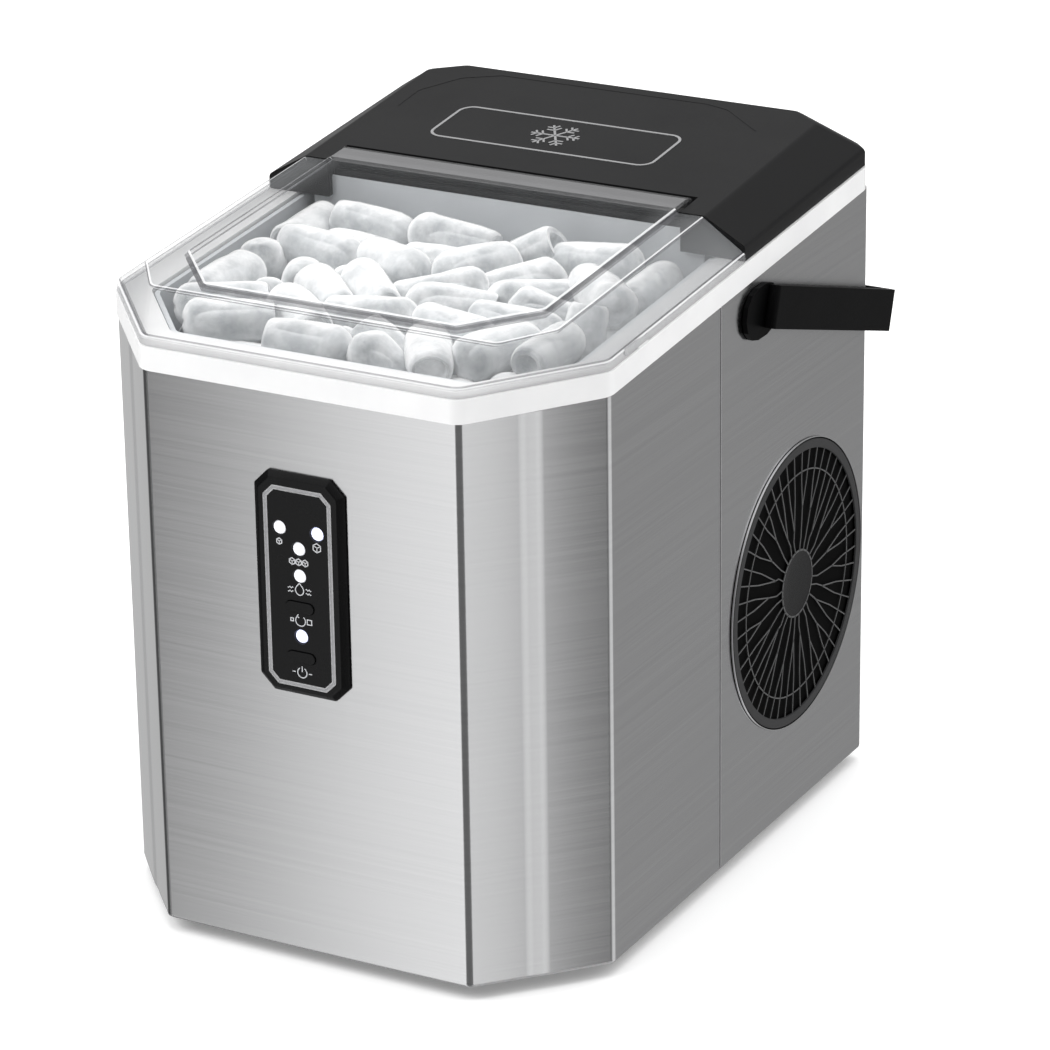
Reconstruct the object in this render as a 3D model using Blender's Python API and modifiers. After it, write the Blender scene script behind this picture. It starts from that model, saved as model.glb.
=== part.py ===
"""Portable ice maker: an assembly of separate, named parts.

Axes: +X to the machine's right, +Y to its back, +Z up, in metres. Parts are modelled in the cabinet's
own frame, whose origin is the bottom centre of the steel cabinet, and hang on one empty that lifts the
cabinet onto its feet and centres the whole machine, handle included, over the world origin.
"""
import math

import bmesh
import bpy
from mathutils import Matrix, Vector

# ---------------------------------------------------------------- driving dimensions
WIDTH = 0.220            # steel cabinet, side to side
DEPTH = 0.2794           # steel cabinet, front to back
CORNER_X = 0.0405        # front corner facet, measured across the front
CORNER_Y = 0.0451        # front corner facet, measured along the side
SLOPE = 0.0707           # rise of the tilted top per metre towards the back
RIM_TOP = 0.2546         # height of the rim's upper face at mid depth
RIM_HEIGHT = 0.0097
SHEET = 0.001            # steel sheet
WALL = 0.002             # moulded plastic wall
GAP = 0.0003             # running gap between parts that touch
FOOT_HEIGHT = 0.006
SEAM_Y = 0.0             # where the front and rear steel wraps meet on the sides

HALF_W = WIDTH / 2
FRONT_Y = -DEPTH / 2
REAR_Y = DEPTH / 2
RIM_LOW = RIM_TOP - RIM_HEIGHT

LID_RISE = 0.0165        # flat of the lid above the rim
LID_PANEL = 0.0018       # raised centre panel above the flat
LID_BACK_Y = 0.0210      # rear edge of the lid beside the tongue
HINGE_Y = 0.0325
HINGE_R = 0.0045         # knuckle radius
TONGUE_W = 0.0800        # half width of the hinged tongue
HINGE_Z = RIM_TOP + SLOPE * HINGE_Y + LID_RISE + LID_PANEL - HINGE_R
PIN_R = 0.0016

FAN_Y, FAN_Z = 0.0708, 0.1012
GRILLE_R = 0.0620

PANEL_HALF_W = 0.0200
PANEL_LOW, PANEL_HIGH = 0.1120, 0.2037
PANEL_PROUD = 0.0030
PANEL_FOOT = 0.0010      # upright foot of the bezel, standing on the steel
PANEL_FLANK = 0.0023     # its sloping flanks lean in by this much
BUTTON_PROUD = 0.0006

PIVOT_Y, PIVOT_Z = 0.0410, 0.2325
HANDLE_ANGLE = math.radians(17.9)    # arms slope down to the back at rest
HANDLE_IN = 0.1126       # inner face of an arm, from the middle
HANDLE_T = 0.0050
HANDLE_W = 0.0175
HANDLE_EDGE = 0.0012     # rounding of its long edges
HANDLE_REACH = 0.1095    # pivot to the crossbar's inner face

TRAY_Y, TRAY_Z = 0.0520, 0.2100      # tilting water tray's axis
TRAY_R = 0.0250

# ---------------------------------------------------------------- scene set-up
for old in list(bpy.data.objects):
    bpy.data.objects.remove(old, do_unlink=True)

machine = bpy.data.collections.new("ice_maker")
cutters = bpy.data.collections.new("cutters")
bpy.context.scene.collection.children.link(machine)
bpy.context.scene.collection.children.link(cutters)

REAR_MOST = (PIVOT_Y + HANDLE_EDGE + (HANDLE_REACH + HANDLE_T - HANDLE_EDGE) * math.cos(HANDLE_ANGLE)
             + (HANDLE_W / 2 - HANDLE_EDGE) * math.sin(HANDLE_ANGLE))
FRONT_MOST = FRONT_Y - PANEL_PROUD - BUTTON_PROUD
cabinet = bpy.data.objects.new("cabinet_frame", None)
cabinet.location = (0, -(REAR_MOST + FRONT_MOST) / 2, FOOT_HEIGHT)
machine.objects.link(cabinet)


def material(name, colour, roughness, metallic=0.0, alpha=1.0):
    mat = bpy.data.materials.new(name)
    mat.use_nodes = True
    shader = mat.node_tree.nodes["Principled BSDF"]
    shader.inputs["Base Color"].default_value = (*colour, 1.0)
    shader.inputs["Roughness"].default_value = roughness
    shader.inputs["Metallic"].default_value = metallic
    shader.inputs["Alpha"].default_value = alpha
    return mat


STEEL = material("brushed_steel", (0.52, 0.52, 0.53), 0.32, 1.0)
WHITE = material("white_gloss_plastic", (0.88, 0.88, 0.88), 0.25)
PALE = material("pale_liner_plastic", (0.72, 0.75, 0.78), 0.40)
BLACK = material("black_satin_plastic", (0.045, 0.045, 0.045), 0.42)
MATTE = material("black_matte_plastic", (0.010, 0.010, 0.010), 0.55)
GLOSS = material("black_gloss_plastic", (0.010, 0.010, 0.011), 0.12)
CLEAR = material("smoky_clear_plastic", (0.75, 0.77, 0.78), 0.08, 0.0, 0.35)
RUBBER = material("black_rubber", (0.02, 0.02, 0.02), 0.80)
COPPER = material("copper", (0.72, 0.38, 0.24), 0.35, 1.0)
NICKEL = material("nickel_plate", (0.62, 0.60, 0.56), 0.28, 1.0)
ALUMINIUM = material("aluminium_fins", (0.62, 0.63, 0.64), 0.45, 1.0)
PAINTED = material("black_painted_steel", (0.02, 0.02, 0.022), 0.50)
GREEN = material("circuit_board", (0.02, 0.16, 0.07), 0.55)
LAMP = material("lamp_lens", (0.80, 0.84, 1.0), 0.30)
HOSE = material("silicone_hose", (0.70, 0.70, 0.68), 0.45)


# ---------------------------------------------------------------- building helpers
def place(obj, mat, group=machine):
    """Link a part to its collection, give it its material and hang it on the cabinet."""
    group.objects.link(obj)
    obj.data.materials.clear()
    obj.data.materials.append(mat)
    if group is cutters:
        obj.hide_render = True
        obj.display_type = "WIRE"
    obj.parent = cabinet
    return obj


def from_bmesh(name, bm, mat, group=machine, at=(0, 0, 0)):
    mesh = bpy.data.meshes.new(name)
    bmesh.ops.recalc_face_normals(bm, faces=bm.faces)
    bm.to_mesh(mesh)
    bm.free()
    obj = place(bpy.data.objects.new(name, mesh), mat, group)
    obj.location = at
    return obj


def box(name, low, high, mat=STEEL, group=machine):
    size = Vector(high) - Vector(low)
    middle = (Vector(high) + Vector(low)) / 2
    bm = bmesh.new()
    bmesh.ops.create_cube(bm, size=1.0, matrix=Matrix.Diagonal((*size, 1.0)))
    return from_bmesh(name, bm, mat, group, middle)


TURN = {"X": Matrix.Rotation(math.pi / 2, 4, "Y"), "Y": Matrix.Rotation(-math.pi / 2, 4, "X"),
        "Z": Matrix.Identity(4)}


def rod(name, start, axis, length, radius, mat=STEEL, sides=20, group=machine, tip=None):
    """A round bar from start along an axis; tip is the far radius where it tapers."""
    bm = bmesh.new()
    matrix = TURN[axis] @ Matrix.Translation((0, 0, length / 2))
    bmesh.ops.create_cone(bm, cap_ends=True, segments=sides, radius1=radius,
                          radius2=radius if tip is None else tip, depth=length, matrix=matrix)
    return from_bmesh(name, bm, mat, group, start)


def curve_mesh(name, data, mat, group):
    """Turn a curve into a welded closed mesh, so that it can be cut or joined."""
    curve = bpy.data.objects.new(name, data)
    bpy.context.scene.collection.objects.link(curve)
    bpy.context.view_layer.update()
    evaluated = curve.evaluated_get(bpy.context.evaluated_depsgraph_get())
    mesh = bpy.data.meshes.new_from_object(evaluated)
    bpy.data.objects.remove(curve, do_unlink=True)
    bpy.data.curves.remove(data)
    bm = bmesh.new()
    bm.from_mesh(mesh)
    bmesh.ops.remove_doubles(bm, verts=bm.verts, dist=0.00001)
    bpy.data.meshes.remove(mesh)
    return from_bmesh(name, bm, mat, group)


def plate(name, outlines, thickness, mat=STEEL, group=machine):
    """A flat plate in XY, centred on Z = 0; outlines after the first are holes."""
    data = bpy.data.curves.new(name, "CURVE")
    data.dimensions = "2D"
    data.fill_mode = "BOTH"
    data.extrude = thickness / 2
    for outline in outlines:
        spline = data.splines.new("POLY")
        spline.points.add(len(outline) - 1)
        for point, (x, y) in zip(spline.points, outline):
            point.co = (x, y, 0, 1)
        spline.use_cyclic_u = True
    return curve_mesh(name, data, mat, group)


def tube(name, points, radius, mat=COPPER, bevel=2):
    """A bent pipe through the given points, with its bends rounded by a smooth curve."""
    data = bpy.data.curves.new(name, "CURVE")
    data.dimensions = "3D"
    data.bevel_depth = radius
    data.bevel_resolution = bevel
    data.use_fill_caps = True
    route = rounded_path(points, radius * 3)
    spline = data.splines.new("POLY")
    spline.points.add(len(route) - 1)
    for point, place_at in zip(spline.points, route):
        point.co = (*place_at, 1)
    return curve_mesh(name, data, mat, machine)


def rounded_path(points, radius, steps=3):
    """Replace each inner corner of a path by a short quadratic bend."""
    points = [Vector(p) for p in points]
    route = [points[0]]
    for before, corner, after in zip(points, points[1:], points[2:]):
        reach = min(radius, (before - corner).length * 0.45, (after - corner).length * 0.45)
        start = corner + (before - corner).normalized() * reach
        end = corner + (after - corner).normalized() * reach
        for i in range(steps + 1):
            t = i / steps
            route.append(start * (1 - t) ** 2 + corner * 2 * t * (1 - t) + end * t * t)
    route.append(points[-1])
    return route


def rounded(outline, radius, steps=3, closed=True):
    """Round every corner of a flat outline by the same radius."""
    count = len(outline)
    result = []
    for i, corner in enumerate(outline):
        if not closed and i in (0, count - 1):
            result.append(corner)
            continue
        before, after = Vector(outline[i - 1]), Vector(outline[(i + 1) % count])
        corner = Vector(corner)
        a, b = (before - corner).normalized(), (after - corner).normalized()
        half = a.angle(b) / 2
        reach = radius / math.tan(half)
        centre = corner + (a + b).normalized() * radius / math.sin(half)
        start, end = corner + a * reach - centre, corner + b * reach - centre
        sweep = start.angle_signed(end)
        for k in range(steps + 1):
            arm = Matrix.Rotation(-sweep * k / steps, 2) @ start
            result.append(tuple(centre + arm))
    return result


def circle(radius, sides, x=0.0, y=0.0):
    return [(x + radius * math.cos(2 * math.pi * i / sides), y + radius * math.sin(2 * math.pi * i / sides))
            for i in range(sides)]


def front_faceted(half_w, front, back, cut_x, cut_y):
    """Plan outline with the two front corners cut off, counter-clockwise from the left."""
    return [(-half_w, front + cut_y), (-half_w + cut_x, front), (half_w - cut_x, front),
            (half_w, front + cut_y), (half_w, back), (-half_w, back)]


def inset(outline, distance):
    """Move every edge of a convex counter-clockwise outline inwards."""
    lines = []
    for i, point in enumerate(outline):
        a, b = Vector(point), Vector(outline[(i + 1) % len(outline)])
        along = (b - a).normalized()
        shift = Vector((-along.y, along.x)) * distance
        lines.append((a + shift, along))
    result = []
    for i, (point, along) in enumerate(lines):
        before, direction = lines[i - 1]
        t = (point - before).cross(along) / direction.cross(along)
        result.append(tuple(before + direction * t))
    return result


def boolean(obj, operation, tools):
    for tool in tools:
        modifier = obj.modifiers.new(operation.lower(), "BOOLEAN")
        modifier.operation = operation
        modifier.object = tool


def cut(obj, *tools):
    boolean(obj, "DIFFERENCE", tools)


def join(obj, *tools):
    boolean(obj, "UNION", tools)


def soften(obj, width, segments=2):
    modifier = obj.modifiers.new("soft_edges", "BEVEL")
    modifier.width = width
    modifier.segments = segments
    modifier.limit_method = "ANGLE"
    modifier.angle_limit = math.radians(40)


def smooth(obj, angle=35):
    obj.data.shade_smooth()
    obj.data.set_sharp_from_angle(angle=math.radians(angle))


def tilt(obj, height=0.0):
    """Lay a part built flat on Z = 0 onto the tilted top, at a height above the rim's upper face."""
    obj.data.transform(Matrix(((1, 0, 0, 0), (0, 1, 0, 0), (0, SLOPE, 1, RIM_TOP + height), (0, 0, 0, 1))))


def wall(name, path, height_at, mat, thickness=SHEET):
    """A sheet that stands on Z = 0 along an open plan path, up to the tilted top."""
    bm = bmesh.new()
    low = [bm.verts.new((x, y, 0)) for x, y in path]
    high = [bm.verts.new((x, y, height_at(y))) for x, y in path]
    for i in range(len(path) - 1):
        bm.faces.new((low[i], low[i + 1], high[i + 1], high[i]))
    mesh = bpy.data.meshes.new(name)
    bm.to_mesh(mesh)
    bm.free()
    obj = place(bpy.data.objects.new(name, mesh), mat)
    solid = obj.modifiers.new("sheet", "SOLIDIFY")
    solid.thickness = thickness
    solid.offset = -1
    solid.use_even_offset = True
    return obj


def loft(name, rings, mat, group=machine, close_top=True, close_bottom=False):
    """Skin rings of equal point count, lowest first."""
    bm = bmesh.new()
    loops = [[bm.verts.new(p) for p in ring] for ring in rings]
    count = len(loops[0])
    for lower, upper in zip(loops, loops[1:]):
        for i in range(count):
            j = (i + 1) % count
            bm.faces.new((lower[i], lower[j], upper[j], upper[i]))
    if close_top:
        bm.faces.new(loops[-1])
    if close_bottom:
        bm.faces.new(reversed(loops[0]))
    mesh = bpy.data.meshes.new(name)
    bm.to_mesh(mesh)
    bm.free()
    return place(bpy.data.objects.new(name, mesh), mat, group)


def pill(half_length, radius, steps=6):
    """Outline of a round-ended bar along X."""
    points = []
    for side in (1, -1):
        for i in range(steps + 1):
            angle = math.pi * i / steps - math.pi / 2
            points.append((side * (half_length + radius * math.cos(angle)), side * radius * math.sin(angle)))
    return points


FACE_FRONT = Matrix.Rotation(math.pi / 2, 4, "X")
FACE_RIGHT = Matrix.Rotation(math.pi / 2, 4, "Z") @ Matrix.Rotation(math.pi / 2, 4, "X")


def stand_on_front(obj, x, y, z):
    """Turn a plate built in XY so that its outline faces the front, at a place."""
    obj.data.transform(Matrix.Translation((x, y, z)) @ FACE_FRONT)


def stand_on_side(obj, x, y, z):
    """Turn a plate built in XY so that its outline faces the right side, at a place."""
    obj.data.transform(Matrix.Translation((x, y, z)) @ FACE_RIGHT)


# ---------------------------------------------------------------- cabinet shell
BODY = front_faceted(HALF_W, FRONT_Y, REAR_Y, CORNER_X, CORNER_Y)


def wrap_top(y):
    return RIM_LOW - GAP + SLOPE * y


def make_base_plate():
    outline = rounded(inset(BODY, SHEET + GAP), 0.006)
    base = plate("base_plate", [outline], 0.010, PAINTED)
    base.location.z = 0.005 + GAP
    for i, (x, y) in enumerate(foot_places()):
        recess = rod(f"foot_socket_{i}", (x, y, -0.002), "Z", 0.006, 0.0120, PAINTED, 20, cutters)
        cut(base, recess)


def foot_places():
    return [(x, y) for y in (FRONT_Y + 0.056, REAR_Y - 0.024) for x in (-0.080, 0.080)]


def make_feet():
    names = ("foot_front_left", "foot_front_right", "foot_rear_left", "foot_rear_right")
    for name, (x, y) in zip(names, foot_places()):
        foot = rod(name, (x, y, -FOOT_HEIGHT), "Z", FOOT_HEIGHT + 0.0036, 0.0105, RUBBER, 20, tip=0.0116)
        smooth(foot)


def make_front_wrap():
    seam = SEAM_Y - GAP / 2
    path = [(-HALF_W, seam)] + BODY[:4] + [(HALF_W, seam)]
    path = rounded(path, 0.007, 4, closed=False)
    wrap = wall("front_wrap", path, wrap_top, STEEL)
    opening = plate("panel_opening", [rounded(panel_outline(0.0018), 0.0012, 2)], 0.02, STEEL, cutters)
    stand_on_front(opening, 0, FRONT_Y, 0)
    cut(wrap, opening)
    smooth(wrap)


def make_rear_wrap():
    seam = SEAM_Y + GAP / 2
    path = [(HALF_W, seam), (HALF_W, REAR_Y), (-HALF_W, REAR_Y), (-HALF_W, seam)]
    wrap = wall("rear_wrap", rounded(path, 0.005, 3, closed=False), wrap_top, STEEL)
    port = rod("grille_port", (HALF_W - 0.01, FAN_Y, FAN_Z), "X", 0.02, GRILLE_R - 0.0020, STEEL, 64, cutters)
    cut(wrap, port, side_vents(), rear_vents(), rear_ports())
    smooth(wrap)


def merged(name, parts, mat=STEEL, group=cutters):
    """Several meshes as one object."""
    bm = bmesh.new()
    for part in parts:
        mesh = part.data.copy()
        mesh.transform(Matrix.Translation(part.location))
        bm.from_mesh(mesh)
        bpy.data.meshes.remove(mesh)
        bpy.data.objects.remove(part, do_unlink=True)
    return from_bmesh(name, bm, mat, group)


def side_vents():
    """Air inlet slots low on the left side."""
    slots = [box("slot", (-HALF_W - 0.01, 0.030 + 0.012 * i, 0.050),
                 (-HALF_W + 0.01, 0.035 + 0.012 * i, 0.120), STEEL, cutters) for i in range(8)]
    return merged("side_vents", slots)


def rear_vents():
    """Air inlet slots across the back."""
    slots = [box("slot", (-0.070 + 0.020 * i, REAR_Y - 0.01, z),
                 (-0.056 + 0.020 * i, REAR_Y + 0.01, z + 0.004),
                 STEEL, cutters) for i in range(7) for z in (0.100, 0.112, 0.124, 0.136)]
    return merged("rear_vents", slots)


SCREW_PLACES = [(-0.095, 0.016), (0.095, 0.016), (-0.095, 0.236), (0.095, 0.236)]
GLAND = (0.070, 0.034)
DRAIN = (-0.088, 0.040)


def rear_ports():
    """Holes in the back for the cord gland, the drain spout and the four screws."""
    holes = [rod("hole", (GLAND[0], REAR_Y - 0.01, GLAND[1]), "Y", 0.02, 0.0063, STEEL, 20, cutters),
             rod("hole", (DRAIN[0], REAR_Y - 0.01, DRAIN[1]), "Y", 0.02, 0.0083, STEEL, 20, cutters)]
    for x, z in SCREW_PLACES:
        holes.append(rod("hole", (x, REAR_Y - 0.01, z), "Y", 0.02, 0.0017, STEEL, 12, cutters))
    return merged("rear_ports", holes)


def make_rear_screws():
    names = ("rear_screw_low_left", "rear_screw_low_right", "rear_screw_high_left", "rear_screw_high_right")
    for name, (x, z) in zip(names, SCREW_PLACES):
        screw = rod(name, (x, REAR_Y + GAP, z), "Y", 0.0016, 0.0032, NICKEL, 16, tip=0.0024)
        shank = rod(name + "_shank", (x, REAR_Y - 0.008, z), "Y", 0.0086, 0.0014, NICKEL, 12, cutters)
        slot = box(name + "_slot", (x - 0.0018, REAR_Y + 0.0012, z - 0.0003),
                   (x + 0.0018, REAR_Y + 0.0030, z + 0.0003), NICKEL, cutters)
        join(screw, shank)
        cut(screw, slot)


def make_top_rim():
    outer = rounded(inset(BODY, -0.0007), 0.008, 4)
    opening = rounded(front_faceted(0.0965, -0.1235, 0.1270, 0.030, 0.0334), 0.006, 3)
    rim = plate("top_rim", [outer, opening], RIM_HEIGHT, WHITE)
    tilt(rim, -RIM_HEIGHT / 2)
    soften(rim, 0.0012)
    smooth(rim)


# ---------------------------------------------------------------- lid and rear cover
def lid_ring(half_w, front, back, cut_x, cut_y, height):
    return [(x, y, height) for x, y in front_faceted(half_w, front, back, cut_x, cut_y)]


def make_lid():
    edge, lip = 0.0002, 0.0040
    rings = [lid_ring(HALF_W + edge, FRONT_Y - edge, LID_BACK_Y, CORNER_X, CORNER_Y, GAP),
             lid_ring(HALF_W + edge, FRONT_Y - edge, LID_BACK_Y, CORNER_X, CORNER_Y, lip),
             lid_ring(0.0915, FRONT_Y + 0.0190, LID_BACK_Y, 0.0150, 0.0200, LID_RISE)]
    lid = loft("lid", rings, CLEAR)
    tilt(lid)
    shell = lid.modifiers.new("shell", "SOLIDIFY")
    shell.thickness = WALL
    shell.offset = -1
    shell.use_even_offset = True

    ridge = LID_RISE + LID_PANEL
    panel = loft("lid_panel", [lid_ring(TONGUE_W, -0.1155, HINGE_Y, 0.0240, 0.0265, LID_RISE - 0.0012),
                               lid_ring(TONGUE_W - 0.001, -0.1145, HINGE_Y, 0.0240, 0.0265, ridge)],
                 CLEAR, cutters, close_bottom=True)
    tilt(panel)
    knuckle = rod("lid_knuckle", (-TONGUE_W, HINGE_Y, HINGE_Z), "X", 2 * TONGUE_W, HINGE_R, CLEAR, 20,
                  cutters)
    bores = merged("lid_bores", [
        rod("bore", (side * (TONGUE_W - 0.0045) - 0.0055, HINGE_Y, HINGE_Z), "X", 0.011, PIN_R + GAP, CLEAR,
            16, cutters) for side in (-1, 1)])
    notch = plate("finger_notch", [pill(0.0085, 0.0018)], 0.003, CLEAR, cutters)
    stand_on_side(notch, HALF_W + 0.0010, -0.0720, RIM_TOP - SLOPE * 0.0720 + 0.0022)
    join(lid, panel, knuckle)
    cut(lid, bores, notch)


def make_hinge_pins():
    for name, side in (("hinge_pin_left", -1), ("hinge_pin_right", 1)):
        start = TONGUE_W - 0.0090 if side > 0 else -TONGUE_W - 0.0060
        smooth(rod(name, (start, HINGE_Y, HINGE_Z), "X", 0.0150, PIN_R, NICKEL, 16))


def cover_ring(half_w, back, corner_x, corner_y, front_height, rear_height):
    notch_x, notch_y = TONGUE_W + 0.0010, HINGE_Y + HINGE_R + 0.0010
    front = LID_BACK_Y + 0.0010
    plan = [(-half_w, back - corner_y), (-half_w, front), (-notch_x, front), (-notch_x, notch_y),
            (notch_x, notch_y), (notch_x, front), (half_w, front), (half_w, back - corner_y),
            (half_w - corner_x, back), (-half_w + corner_x, back)]
    span = back - front
    return [(x, y, front_height + (rear_height - front_height) * (y - front) / span) for x, y in plan]


def make_rear_cover():
    rings = [cover_ring(HALF_W - 0.0003, REAR_Y - 0.0002, 0.004, 0.004, GAP, GAP),
             cover_ring(HALF_W - 0.0003, REAR_Y - 0.0002, 0.004, 0.004, 0.0062, 0.0068),
             cover_ring(0.0915, REAR_Y - 0.0047, 0.0140, 0.0095, 0.0166, 0.0195)]
    cover = loft("rear_cover", rings, BLACK)
    tilt(cover)
    shell = cover.modifiers.new("shell", "SOLIDIFY")
    shell.thickness = WALL
    shell.offset = -1
    shell.use_even_offset = True
    bores = merged("cover_bores", [
        rod("bore", (side * (TONGUE_W + 0.003) - 0.005, HINGE_Y, HINGE_Z), "X", 0.010, PIN_R + GAP, BLACK, 16,
            cutters) for side in (-1, 1)])
    cut(cover, bores)


# ---------------------------------------------------------------- ice chamber
CHAMBER = front_faceted(0.0955, -0.1225, 0.0820, 0.0290, 0.0325)
DEEP_BACK = 0.0080       # the deep water tank ends here
SHELF_Z = 0.1680         # underside of the shallow rear half
TANK_Z = 0.0920
BASKET_Z = 0.1290
BASKET_TALL = 0.0950
TANK_DRAIN = (-0.0600, -0.0500)
PUMP = (-0.0300, -0.0850)


def make_inner_liner():
    """Moulded chamber: a deep water tank in front, a shallow shelf behind, and two ledges for the basket."""
    liner = plate("inner_liner", [rounded(CHAMBER, 0.006, 3)], 0.200, PALE)
    liner.location.z = TANK_Z + 0.100
    hollow = plate("chamber_hollow", [rounded(inset(CHAMBER, WALL), 0.005, 3)], 0.300, PALE, cutters)
    hollow.location.z = SHELF_Z + WALL + 0.150
    deep = front_faceted(0.0935, -0.1205, DEEP_BACK - WALL, 0.0290, 0.0325)
    tank = plate("tank_hollow", [rounded(deep, 0.004, 3)], 0.200, PALE, cutters)
    tank.location.z = TANK_Z + WALL + 0.100
    below = box("below_shelf", (-0.2, DEEP_BACK, 0.0), (0.2, 0.2, SHELF_Z), PALE, cutters)
    above = plate("above_rim", [[(-0.2, -0.2), (0.2, -0.2), (0.2, 0.2), (-0.2, 0.2)]], 0.1, PALE, cutters)
    tilt(above, 0.05 - 0.0012)
    outlets = merged("tank_outlets", [rod("hole", (x, y, TANK_Z - 0.006), "Z", 0.020, 0.0030, PALE, 16,
                                          cutters)
                                      for x, y in (TANK_DRAIN, PUMP)])
    cut(liner, hollow, tank, below, above, outlets)
    for side in (-1, 1):
        ledge = box("basket_ledge", (side * 0.0892 - 0.0054, -0.0850, BASKET_Z - 0.0100),
                    (side * 0.0892 + 0.0054, -0.0250, BASKET_Z - GAP), PALE, cutters)
        join(liner, ledge)


def make_ice_basket():
    """Lift-out basket with a slotted floor and a low back, where the shovel pushes the ice in."""
    plan = front_faceted(0.0860, -0.1140, 0.0020, 0.0260, 0.0290)
    basket = plate("ice_basket", [rounded(plan, 0.008, 3)], BASKET_TALL, WHITE)
    basket.location.z = BASKET_Z + BASKET_TALL / 2
    inside = plate("basket_inside", [rounded(inset(plan, 0.0018), 0.007, 3)], 0.120, WHITE, cutters)
    inside.location.z = BASKET_Z + 0.0018 + 0.060
    slots = merged("basket_slots", [
        box("slot", (-0.067 + 0.018 * i, -0.095, BASKET_Z - 0.01),
            (-0.059 + 0.018 * i, -0.015, BASKET_Z + 0.01), WHITE, cutters) for i in range(8)])
    low_back = box("basket_low_back", (-0.072, -0.005, SHELF_Z - 0.002), (0.072, 0.010, 0.240), WHITE,
                   cutters)
    cut(basket, inside, slots, low_back)


def make_ice_sensors():
    for name, side in (("ice_sensor_left", -1), ("ice_sensor_right", 1)):
        x = side * 0.0905
        box(name, (x - 0.0025, 0.0035, 0.2300), (x + 0.0025, 0.0125, 0.2420), MATTE)


def make_evaporator():
    """Refrigerant block with nine cooled fingers that reach down into the tray."""
    block = box("evaporator", (-0.066, TRAY_Y - 0.010, 0.2330), (0.066, TRAY_Y + 0.010, 0.2420), NICKEL)
    fingers = []
    for i in range(9):
        finger = rod("finger", (-0.056 + 0.014 * i, TRAY_Y, 0.2020), "Z", 0.0340, 0.0042, NICKEL, 12, cutters)
        fingers.append(finger)
    join(block, merged("evaporator_fingers", fingers))


def tray_arc(radius):
    return [(radius * math.cos(math.radians(200 + 10 * i)), radius * math.sin(math.radians(200 + 10 * i)))
            for i in range(15)]


def make_water_tray():
    """Half-round trough with closed ends, hung on its own axis."""
    section = tray_arc(TRAY_R) + tray_arc(TRAY_R - 0.0016)[::-1]
    tray = plate("water_tray", [section], 0.1460, PALE)
    stand_on_side(tray, 0, 0, 0)
    tray.location = (0, TRAY_Y, TRAY_Z)
    for side in (-1, 1):
        end = plate("tray_end", [tray_arc(TRAY_R + 0.0006) + [(0.006, 0.005), (-0.006, 0.005)]], 0.0024, PALE,
                    cutters)
        stand_on_side(end, side * 0.0730, TRAY_Y, TRAY_Z)
        stub = rod("tray_stub", (side * 0.0808 - 0.0077, TRAY_Y, TRAY_Z), "X", 0.0154, 0.0030, PALE, 16,
                   cutters)
        join(tray, end, stub)


def make_tray_drive():
    """Gear motor outside the chamber's left wall; its shaft stops short of the tray's stub."""
    motor = box("tray_motor", (-0.1075, TRAY_Y - 0.014, TRAY_Z - 0.016),
                (-0.0960, TRAY_Y + 0.014, TRAY_Z + 0.016), MATTE)
    soften(motor, 0.0015)
    bearing_block("tray_bearing_left", -1)
    bearing_block("tray_bearing_right", 1)


def bearing_block(name, side):
    """Small bush that carries one end of the tray, fixed to the chamber wall."""
    x = side * 0.0877
    block = box(name, (x - 0.0055, TRAY_Y - 0.008, TRAY_Z - 0.008),
                (x + 0.0055, TRAY_Y + 0.008, TRAY_Z + 0.008), WHITE)
    bore = rod(name + "_bore", (x - 0.0085 if side > 0 else x - 0.0025, TRAY_Y, TRAY_Z), "X", 0.011, 0.0034,
               WHITE, 16, cutters)
    cut(block, bore)


def make_ice_shovel():
    """Comb blade on the shelf that pushes fallen ice over the edge into the basket."""
    blade = box("ice_shovel", (-0.078, 0.0700, SHELF_Z + WALL + GAP), (0.078, 0.0725, 0.1835), WHITE)
    foot = box("shovel_foot", (-0.078, 0.0700, SHELF_Z + WALL + GAP), (0.078, 0.0785, 0.1725), WHITE, cutters)
    teeth = merged("shovel_gaps", [
        box("gap", (-0.070 + 0.0165 * i, 0.06, 0.1760), (-0.062 + 0.0165 * i, 0.08, 0.19), WHITE, cutters)
        for i in range(9)])
    join(blade, foot)
    cut(blade, teeth)


# ---------------------------------------------------------------- control panel
def panel_outline(shrink):
    half, low, high = PANEL_HALF_W - shrink, PANEL_LOW + shrink, PANEL_HIGH - shrink
    c = 0.0062 - shrink * 0.6
    return [(-half + c, low), (half - c, low), (half, low + c), (half, high - c), (half - c, high),
            (-half + c, high), (-half, high - c), (-half, low + c)]


LAMPS = {"led_small_cube": (-0.0084, 0.1812), "led_large_cube": (0.0084, 0.1812), "led_ice_full": (0, 0.1736),
         "led_add_water": (0, 0.1624), "led_power": (0, 0.1373)}
BUTTONS = {"select_button": 0.1496, "power_button": 0.1287}
LAMP_R = 0.0028
BUTTON_HALF, BUTTON_R = 0.0040, 0.0022
BUTTON_TRAVEL = 0.0010
BUTTON_LENGTH = 0.0076
LAMP_LENGTH = 0.0090


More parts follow.
